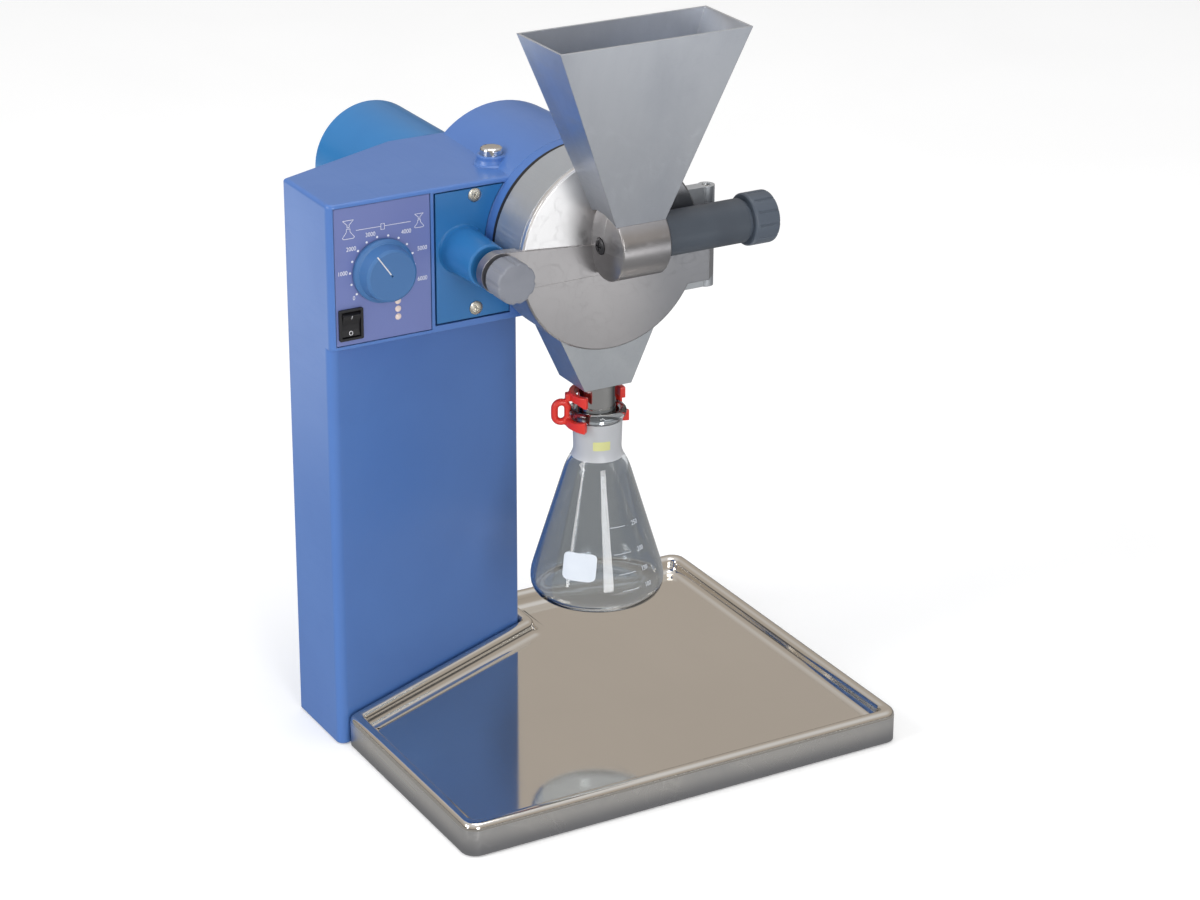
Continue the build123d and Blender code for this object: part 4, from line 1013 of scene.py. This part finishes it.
# ground-joint flask: profile as radius and height, outside up and inside down
flaskShape = {
    "axis": (9, -22.5),
    "outside": [(0, 90.0), (12, 89.7), (22, 89.0), (30, 88.15), (34.2, 88.05), (36.8, 88.5), (38.8, 89.5),
                (40.4, 91.0), (41.6, 93.0), (42.4, 95.4), (42.7, 98), (42.6, 101), (42.1, 104), (41.2, 107.2),
                (21.8, 171.4), (20.8, 174.4), (19.6, 177.3), (18.2, 180.0), (16.9, 182.4), (15.9, 184.6),
                (15.35, 187), (15.3, 190), (15.75, 205), (15.95, 207.6), (16.6, 208.8), (17.7, 209.6),
                (18.3, 210.7), (18.5, 212), (18.2, 213.3), (17.4, 214.2), (16.2, 214.6)],
    "inside": [(15.2, 214.5), (14.7, 213.9), (14.45, 212.6), (14.3, 210), (13.05, 185), (13.1, 184), (13.4, 182.8),
               (14.3, 181.0), (15.6, 179.2), (17.2, 177.0), (18.5, 174.6), (19.6, 171.8), (39.2, 107.4),
               (40.2, 104), (40.8, 100.8), (40.95, 98), (40.7, 95.8), (39.9, 93.8), (38.6, 92.2), (36.9, 91.1),
               (34.4, 90.6), (28, 90.4), (20, 91.0), (10, 91.4), (0, 91.5)],
    "segments": 128,
    "wallFrom": 98,
    "weld": 0.001,
    "joint": {"heights": (182.6, 184.6, 187, 190, 195, 200, 204, 207.2), "proud": 0.04, "segments": 96},
    "patches": {
        "neckLabel": {"turn": (230, 272), "height": (190.2, 196.2), "corner": 0.6, "proud": 0.1,
                      "finish": "paleLabel"},
        "notePatch": {"turn": (206, 240), "height": (111, 128), "corner": 3.4, "proud": 0.03,
                      "finish": "whiteEnamel"},
    },
    "levels": {"250": 143.5, "200": 127.0, "150": 114.5, "100": 104.2},
    "level": {"turn": 291, "size": 4.2, "stretch": 0.9, "edge": 0.8, "proud": 0.03, "lineFrom": -20,
              "lineLength": 12, "lineHalf": 0.14, "cells": 12},
}


def outsideRadius(height):
    line = [spot for spot in flaskShape["outside"] if spot[1] >= flaskShape["wallFrom"]]
    for (r0, h0), (r1, h1) in zip(line, line[1:]):
        if h0 <= height <= h1:
            return r0 + (r1 - r0) * (height - h0) / (h1 - h0)
    return line[-1][0]


def wrapOnFlask(work, proud):
    # local x is millimetres of arc, y is height and z the middle angle; all are laid on the glass
    for vert in work.verts:
        height = vert.co.y
        radius = outsideRadius(height) + proud
        turn = vert.co.z + vert.co.x / radius
        vert.co = Vector((radius * math.cos(turn), radius * math.sin(turn), height))


def roundedPatch(work, values, steps=20):
    # gridded patch with rounded corners, x as arc length at its own middle
    (turnFrom, turnTo), (low, high), corner = values["turn"], values["height"], values["corner"]
    middle = math.radians((turnFrom + turnTo) / 2)
    half = math.radians(turnTo - turnFrom) / 2 * outsideRadius((low + high) / 2)
    rows = []
    for row in range(steps + 1):
        y = low + (high - low) * row / steps
        edge = min(y - low, high - y)
        pull = 0 if edge >= corner else corner - math.sqrt(max(0, corner ** 2 - (corner - edge) ** 2))
        reach = half - pull
        rows.append([work.verts.new((-reach + 2 * reach * column / steps, y, middle)) for column in range(steps + 1)])
    for lower, upper in zip(rows, rows[1:]):
        fillRow(work, lower, upper)


def fillRow(work, lower, upper):
    for column in range(len(lower) - 1):
        work.faces.new((lower[column], lower[column + 1], upper[column + 1], upper[column]))


def finishWrapped(name, work, proud, finish):
    wrapOnFlask(work, proud)
    bmesh.ops.remove_doubles(work, verts=work.verts, dist=flaskShape["weld"])
    for face in work.faces:
        face.smooth = True
        face.normal_update()
        middle = face.calc_center_median()
        if face.normal.dot(Vector((middle.x, middle.y, 0))) < 0:
            face.normal_flip()
    onFlask(name, meshFrom(work, name), finish)


def onFlask(name, mesh, finish, stands=()):
    settle(mesh, (*flaskShape["axis"], 0))
    showPiece(name, mesh, finish, "flask", stands)


def makeGlassWall(values):
    mesh = turnMesh("flaskGlass", values["outside"] + values["inside"], "clearGlass", values["segments"])
    onFlask("flaskGlass", smoothAll(mesh), "clearGlass", ["flask"])
    joint = values["joint"]
    band = [(outsideRadius(height) + joint["proud"], height) for height in joint["heights"]]
    mesh = turnMesh("groundJoint", band, "frostedJoint", joint["segments"])
    onFlask("groundJoint", smoothAll(mesh), "frostedJoint")


def makePatches(patches):
    for name, values in patches.items():
        work = bmesh.new()
        roundedPatch(work, values)
        finishWrapped(name, work, values["proud"], values["finish"])


def makeLevelMarks(levels, values):
    work = bmesh.new()
    turn = math.radians(values["turn"])
    for words, height in levels.items():
        letters = bmesh.new()
        letters.from_mesh(textMesh(words, values["size"], values["stretch"]))
        longEdges = [edge for edge in letters.edges if edge.calc_length() > values["edge"]]
        bmesh.ops.subdivide_edges(letters, edges=longEdges, cuts=2)
        for vert in letters.verts:
            vert.co = Vector((vert.co.x, vert.co.y + height, turn))
        held = meshFrom(letters, "letters")
        work.from_mesh(held)
        bpy.data.meshes.remove(held)
        places = [values["lineFrom"] + values["lineLength"] * cell / values["cells"]
                  for cell in range(values["cells"] + 1)]
        fillRow(work, *([work.verts.new((x, height + up, turn)) for x in places]
                        for up in (-values["lineHalf"], values["lineHalf"])))
    finishWrapped("levelMarks", work, values["proud"], "whiteEnamel")


makeGlassWall(flaskShape)
makePatches(flaskShape["patches"])
makeLevelMarks(flaskShape["levels"], flaskShape["level"])
print("flask ready")

# red joint clip: two open bands, two legs and a looped handle, fused and softened
clipShape = {
    "bands": [{"inner": 14.6, "outer": 18.3, "low": 220.2, "high": 225.6, "flare": (1.9, 0.3)},
              {"inner": 16.5, "outer": 20.9, "low": 202.9, "high": 208.3, "flare": (0.3, 1.9)}],
    "from": -15,
    "to": 218,
    "flareReach": 26,
    "flareThick": 0.25,
    "legTurns": (20, 90),
    "legBoxes": [(18.95, 21.4, -2.7, 2.7, 203.2, 225.2), (15.2, 20.0, -2.7, 2.7, 220.4, 225.4)],
    "handleTurn": 159,
    "handleLoop": {"length": 8.4, "height": 13.2, "middle": (23.1, 0, 212), "section": (2.3, 2.75)},
    "handleBoxes": [(16.6, 20.5, -2.6, 2.6, 203.2, 207.2), (16.2, 20.5, -2.6, 2.6, 219.4, 224.6)],
    "voxel": 0.42,
    "soften": 0.5,
    "softenTimes": 13,
}


def joinLoop(work, first, last):
    # faces between two closed rings of the same count
    faces = []
    for index in range(len(first)):
        after = (index + 1) % len(first)
        faces.append(work.faces.new((first[index], first[after], last[after], last[index])))
    return faces


def bandShape(work, band, values, steps=72):
    start, end = values["from"], values["to"]
    rings = []
    for step in range(steps + 1):
        share = step / steps
        near = min(share, 1 - share) * (end - start)
        flare = max(0, 1 - near / values["flareReach"])
        flare = flare * flare * (3 - 2 * flare)
        low = band["low"] - band["flare"][0] * flare
        high = band["high"] + band["flare"][1] * flare
        turn = math.radians(start + (end - start) * share)
        inner = band["inner"]
        outer = band["outer"] - values["flareThick"] + values["flareThick"] * flare
        rings.append([work.verts.new((radius * math.cos(turn), radius * math.sin(turn), height))
                      for radius, height in ((inner, low), (outer, low), (outer, high), (inner, high))])
    for first, last in zip(rings, rings[1:]):
        joinLoop(work, first, last)
    work.faces.new(rings[0])
    work.faces.new(list(reversed(rings[-1])))


def boxShape(work, matrix, box):
    for vert in boxVerts(work, box):
        vert.co = matrix @ vert.co


def loopShape(work, matrix, values, steps=64, sides=12):
    # stadium loop standing in the local xz plane, with an oval section
    length, (deep, wide) = values["length"], values["section"]
    straight = max(0.0, (values["height"] - length) / 2)
    rings = []
    for step in range(steps):
        turn = math.tau * step / steps
        out = Vector((math.cos(turn), 0, math.sin(turn)))
        rise = math.copysign(straight, math.sin(turn)) if abs(math.sin(turn)) > 1e-6 else 0
        path = Vector(values["middle"]) + out * (length / 2) + Vector((0, 0, rise))
        ring = []
        for corner in range(sides):
            roll = math.tau * corner / sides
            spot = path + out * deep * math.cos(roll) + Vector((0, wide * math.sin(roll), 0))
            ring.append(work.verts.new(matrix @ spot))
        rings.append(ring)
    for index in range(steps):
        joinLoop(work, rings[index], rings[(index + 1) % steps])


def makeClip(values):
    work = bmesh.new()
    for band in values["bands"]:
        bandShape(work, band, values)
    for turn in values["legTurns"]:
        for box in values["legBoxes"]:
            boxShape(work, Matrix.Rotation(math.radians(turn), 4, "Z"), box)
    side = Matrix.Rotation(math.radians(values["handleTurn"]), 4, "Z")
    loopShape(work, side, values["handleLoop"])
    for box in values["handleBoxes"]:
        boxShape(work, side, box)
    bmesh.ops.recalc_face_normals(work, faces=work.faces)
    holder = linked("clipHolder", meshFrom(work, "jointClipBody"))
    fuse = holder.modifiers.new("fuse", "REMESH")
    fuse.mode = "VOXEL"
    fuse.voxel_size = values["voxel"]
    soften = holder.modifiers.new("soften", "SMOOTH")
    soften.factor = values["soften"]
    soften.iterations = values["softenTimes"]
    mesh = smoothAll(plainCopy(holder))
    mesh.name = "jointClipBody"
    settle(mesh, (*flaskShape["axis"], 0))
    showPiece("jointClipBody", mesh, "clipRed", "flask", ["joint_clip"])


makeClip(clipShape)
print("joint clip ready")

# drawn tray: a section swept round the outline; x, y, corner radius, over the foot plate or not
trayShape = {
    "outline": [(-152, -153, 9.5, False), (158, -153, 9.5, False), (158, 125, 9.5, False), (9.2, 125, 6, False),
                (9.2, 108.85, 0, False), (9.2, 108.75, 0, True), (9.2, 82.2, 4, True), (-144.75, 16.4, 0, True),
                (-144.85, 16.356, 0, False), (-152, 13.3, 6, False)],
    # inset and height, from the cut edge over the rim to the floor
    "top": [(0, 1), (0, 10), (0, 17.6), (0.2, 19.2), (0.8, 20.5), (1.8, 21.35), (3.0, 21.75), (4.2, 21.8),
            (5.4, 21.75), (6.6, 21.4), (7.6, 20.6), (8.3, 19.4), (8.8, 18.0), (9.4, 16.2), (10.0, 14.9),
            (10.8, 13.8), (11.9, 13.05), (13.3, 12.65), (15, 12.5), (17, 12.5)],
    "under": [(1, 1), (1, 10), (1, 17.5), (1.2, 18.8), (1.7, 19.7), (2.4, 20.4), (3.3, 20.75), (4.2, 20.8),
              (5.2, 20.75), (6.1, 20.5), (6.8, 19.9), (7.4, 18.9), (7.9, 17.5), (8.5, 15.8), (9.1, 14.4),
              (10.0, 13.1), (11.3, 12.15), (13.1, 11.65), (15, 11.5), (17, 11.5)],
    "cornerSteps": 8,
    "outerShrink": 0.4,
    "innerGrow": 0.6,
    "leastBend": 0.02,
    "clearOfPlate": 11.9,
    "liftInset": 8,
    "liftHeight": 12,
    "skirtRows": 2,
    "sharp": 40,
    "weld": 0.0001,
    "floorCorners": 20,
}


def insetOutline(values, inset):
    outline, steps = values["outline"], values["cornerSteps"]
    ring = []
    for index, (x, y, radius, over) in enumerate(outline):
        here = Vector((x, y))
        before = Vector(outline[index - 1][:2])
        after = Vector(outline[(index + 1) % len(outline)][:2])
        first, last = (here - before).normalized(), (after - here).normalized()
        inFirst, inLast = Vector((-first.y, first.x)), Vector((-last.y, last.x))
        bend = first.cross(last)
        if abs(bend) < values["leastBend"] or radius == 0:
            ring.append((here + inFirst * inset, over))
            continue
        span = (inFirst + inLast) / (1 + inFirst.dot(inLast))
        soft = radius - values["outerShrink"] * inset if bend > 0 else radius + values["innerGrow"] * inset
        side = 1 if bend > 0 else -1
        centre = here + span * (inset + side * soft)
        fromTurn = math.atan2(inFirst.y, inFirst.x)
        turn = math.atan2(bend, first.dot(last))
        for step in range(steps + 1):
            angle = fromTurn + turn * step / steps
            ring.append((centre - side * soft * Vector((math.cos(angle), math.sin(angle))), over))
    return ring


def sweepSection(work, values, section):
    # rings of the sheet; the part over the foot plate stays clear of it
    rings = []
    for inset, height in section:
        nearPlate = height < values["liftHeight"] and inset < values["liftInset"]
        lifted = max(height, values["clearOfPlate"]) if nearPlate else height
        rings.append([work.verts.new((spot.x, spot.y, lifted if over else height))
                      for spot, over in insetOutline(values, inset)])
    return rings


def makeTray(values):
    work = bmesh.new()
    top, under = sweepSection(work, values, values["top"]), sweepSection(work, values, values["under"])
    skirt = []
    for row, (first, last) in enumerate(zip(top, top[1:])):
        faces = joinLoop(work, first, last)
        if row < values["skirtRows"]:
            skirt += faces
    for first, last in zip(under, under[1:]):
        skirt += joinLoop(work, last, first)
    skirt += joinLoop(work, under[0], top[0])
    for face in skirt:
        face.material_index = 1
    work.faces.new(top[-1])
    work.faces.new(list(reversed(under[-1])))
    bmesh.ops.dissolve_degenerate(work, edges=work.edges[:], dist=values["weld"])
    mesh = meshFrom(work, "drawnTray")
    mesh.materials.append(finishes["trayStainless"])
    mesh.materials.append(finishes["traySkirt"])
    smoothBy(mesh, values["sharp"])
    for face in mesh.polygons:
        # the two floor faces, the only ones with many corners, stay flat
        if len(face.vertices) > values["floorCorners"]:
            face.use_smooth = False
    settle(mesh)
    showPiece("drawnTray", mesh, "trayStainless", "drip_tray", ["drip_tray"])


makeTray(trayShape)
print("tray ready")

# floor, pale room and soft lamps; sizes and places in metres
studio = {
    "floor": {"size": 24, "tone": (236, 236, 236), "drift": (233, 233, 233), "scale": 3, "rough": 0.9,
              "shine": 0.1, "lift": 0.25},
    "mirrorTable": 0.34,
    "mirrorPapers": [{"centre": (0.55, -1.3), "near": 0.44, "far": 0.76, "level": 1.5},
                     {"centre": (-0.62, 0.86), "near": 0.3, "far": 0.62, "level": 1.1}],
    "roomLight": 0.62,
    "mirrorRoom": [(0.0, (0.07, 0.07, 0.075)), (0.09, (0.12, 0.115, 0.11)), (0.17, (0.46, 0.42, 0.375)),
                   (0.5, (0.5, 0.46, 0.42)), (0.8, (0.72, 0.72, 0.73)), (1.0, (0.85, 0.85, 0.87))],
    "lamps": {
        "keyLamp": {"place": (-2.7, 0.2, 1.9), "size": (1.2, 1.2), "watts": 33},
        "frontStrip": {"place": (-0.45, -2.9, 0.9), "size": (0.9, 1.5), "watts": 33},
        "sideStrip": {"place": (-2.9, -0.5, 0.85), "size": (0.28, 1.3), "watts": 9},
        "topLamp": {"place": (0.25, 0.0, 2.6), "size": (1.6, 1.2), "watts": 15},
    },
    "lampAim": (0, 0, 0.25),
}
white = (1, 1, 1, 1)


def lightWays(tree, names):
    ways = addNode(tree, "ShaderNodeLightPath").outputs
    return largestOf(tree, [ways[name] for name in names])


def mixShaders(tree, mask, first, second):
    mix = addNode(tree, "ShaderNodeMixShader")
    for socket, value in zip(mix.inputs, (mask, first, second)):
        tree.links.new(value, socket)
    return mix.outputs[0]


def fillRamp(ramp, steps):
    stops = ramp.color_ramp.elements
    for index, (where, shade) in enumerate(steps):
        stop = stops[index] if index < 2 else stops.new(where)
        stop.position = where
        stop.color = (*shade, 1)


def mirrorLevel(tree, values):
    # metal mirrors a grey table top with two bright papers on it
    sheets = []
    for paper in values["mirrorPapers"]:
        x, y = paper["centre"]
        moved = addNode(tree, "ShaderNodeMapping", Vector=objectPlace(tree), Location=(-x, -y, 0))
        reach = addNode(tree, "ShaderNodeVectorMath", {"operation": "LENGTH"})
        tree.links.new(moved.outputs["Vector"], reach.inputs[0])
        sheets.append(mapNode(tree, reach.outputs["Value"], paper["near"], paper["far"], paper["level"],
                              values["mirrorTable"]))
    return largestOf(tree, sheets)


def makeFloor(values):
    look = values["floor"]
    half = look["size"] / 2
    mesh = bpy.data.meshes.new("paleFloor")
    mesh.from_pydata([(-half, -half, 0), (half, -half, 0), (half, half, 0), (-half, half, 0)], [], [(0, 1, 2, 3)])
    floor = linked("paleFloor", mesh)
    finish, tree, shader = newFinish("floorPaper")
    tree.links.new(driftTones(tree, look, look["scale"])["Color"], shader["Base Color"])
    shader["Roughness"].default_value = look["rough"]
    shader["Specular IOR Level"].default_value = look["shine"]
    # camera and glass see the paper as white, and its shadow stays; metal sees the table below instead
    seen = lightWays(tree, ["Is Camera Ray", "Is Glossy Ray", "Is Transmission Ray"])
    glow = addNode(tree, "ShaderNodeEmission", Color=white, Strength=mathNode(tree, "MULTIPLY", seen, look["lift"]))
    both = addNode(tree, "ShaderNodeAddShader")
    tree.links.new(tree.nodes["Principled BSDF"].outputs[0], both.inputs[0])
    tree.links.new(glow.outputs[0], both.inputs[1])
    table = addNode(tree, "ShaderNodeEmission", Color=white, Strength=mirrorLevel(tree, values))
    pick = mixShaders(tree, lightWays(tree, ["Is Glossy Ray"]), both.outputs[0], table.outputs[0])
    tree.links.new(pick, tree.nodes["Material Output"].inputs["Surface"])
    floor.data.materials.append(finish)


def makeRoom(values):
    world = bpy.data.worlds.new("paleRoom")
    bpy.context.scene.world = world
    world.use_nodes = True
    tree = world.node_tree
    tree.nodes.clear()
    # what metal mirrors: dim at the level of the table, grey backdrop, paler ceiling
    place = addNode(tree, "ShaderNodeTexCoord").outputs["Generated"]
    parts = addNode(tree, "ShaderNodeSeparateXYZ", Vector=place)
    ramp = addNode(tree, "ShaderNodeValToRGB", Fac=parts.outputs["Z"])
    fillRamp(ramp, values["mirrorRoom"])
    light, mirror, backdrop = (
        addNode(tree, "ShaderNodeBackground", Color=colour, Strength=strength).outputs[0]
        for colour, strength in ((white, values["roomLight"]), (ramp.outputs["Color"], 1), (white, 1)))
    lit = mixShaders(tree, lightWays(tree, ["Is Glossy Ray"]), light, mirror)
    whole = mixShaders(tree, lightWays(tree, ["Is Camera Ray", "Is Transmission Ray"]), lit, backdrop)
    addNode(tree, "ShaderNodeOutputWorld", Surface=whole)


def makeLamps(values):
    for name, lamp in values["lamps"].items():
        data = bpy.data.lights.new(name, "AREA")
        data.shape = "RECTANGLE"
        data.size, data.size_y = lamp["size"]
        data.energy = lamp["watts"]
        item = linked(name, data)
        item.location = lamp["place"]
        item.rotation_euler = (Vector(values["lampAim"]) - item.location).to_track_quat("-Z", "Y").to_euler()


makeFloor(studio)
makeRoom(studio)
makeLamps(studio)
print("studio ready")
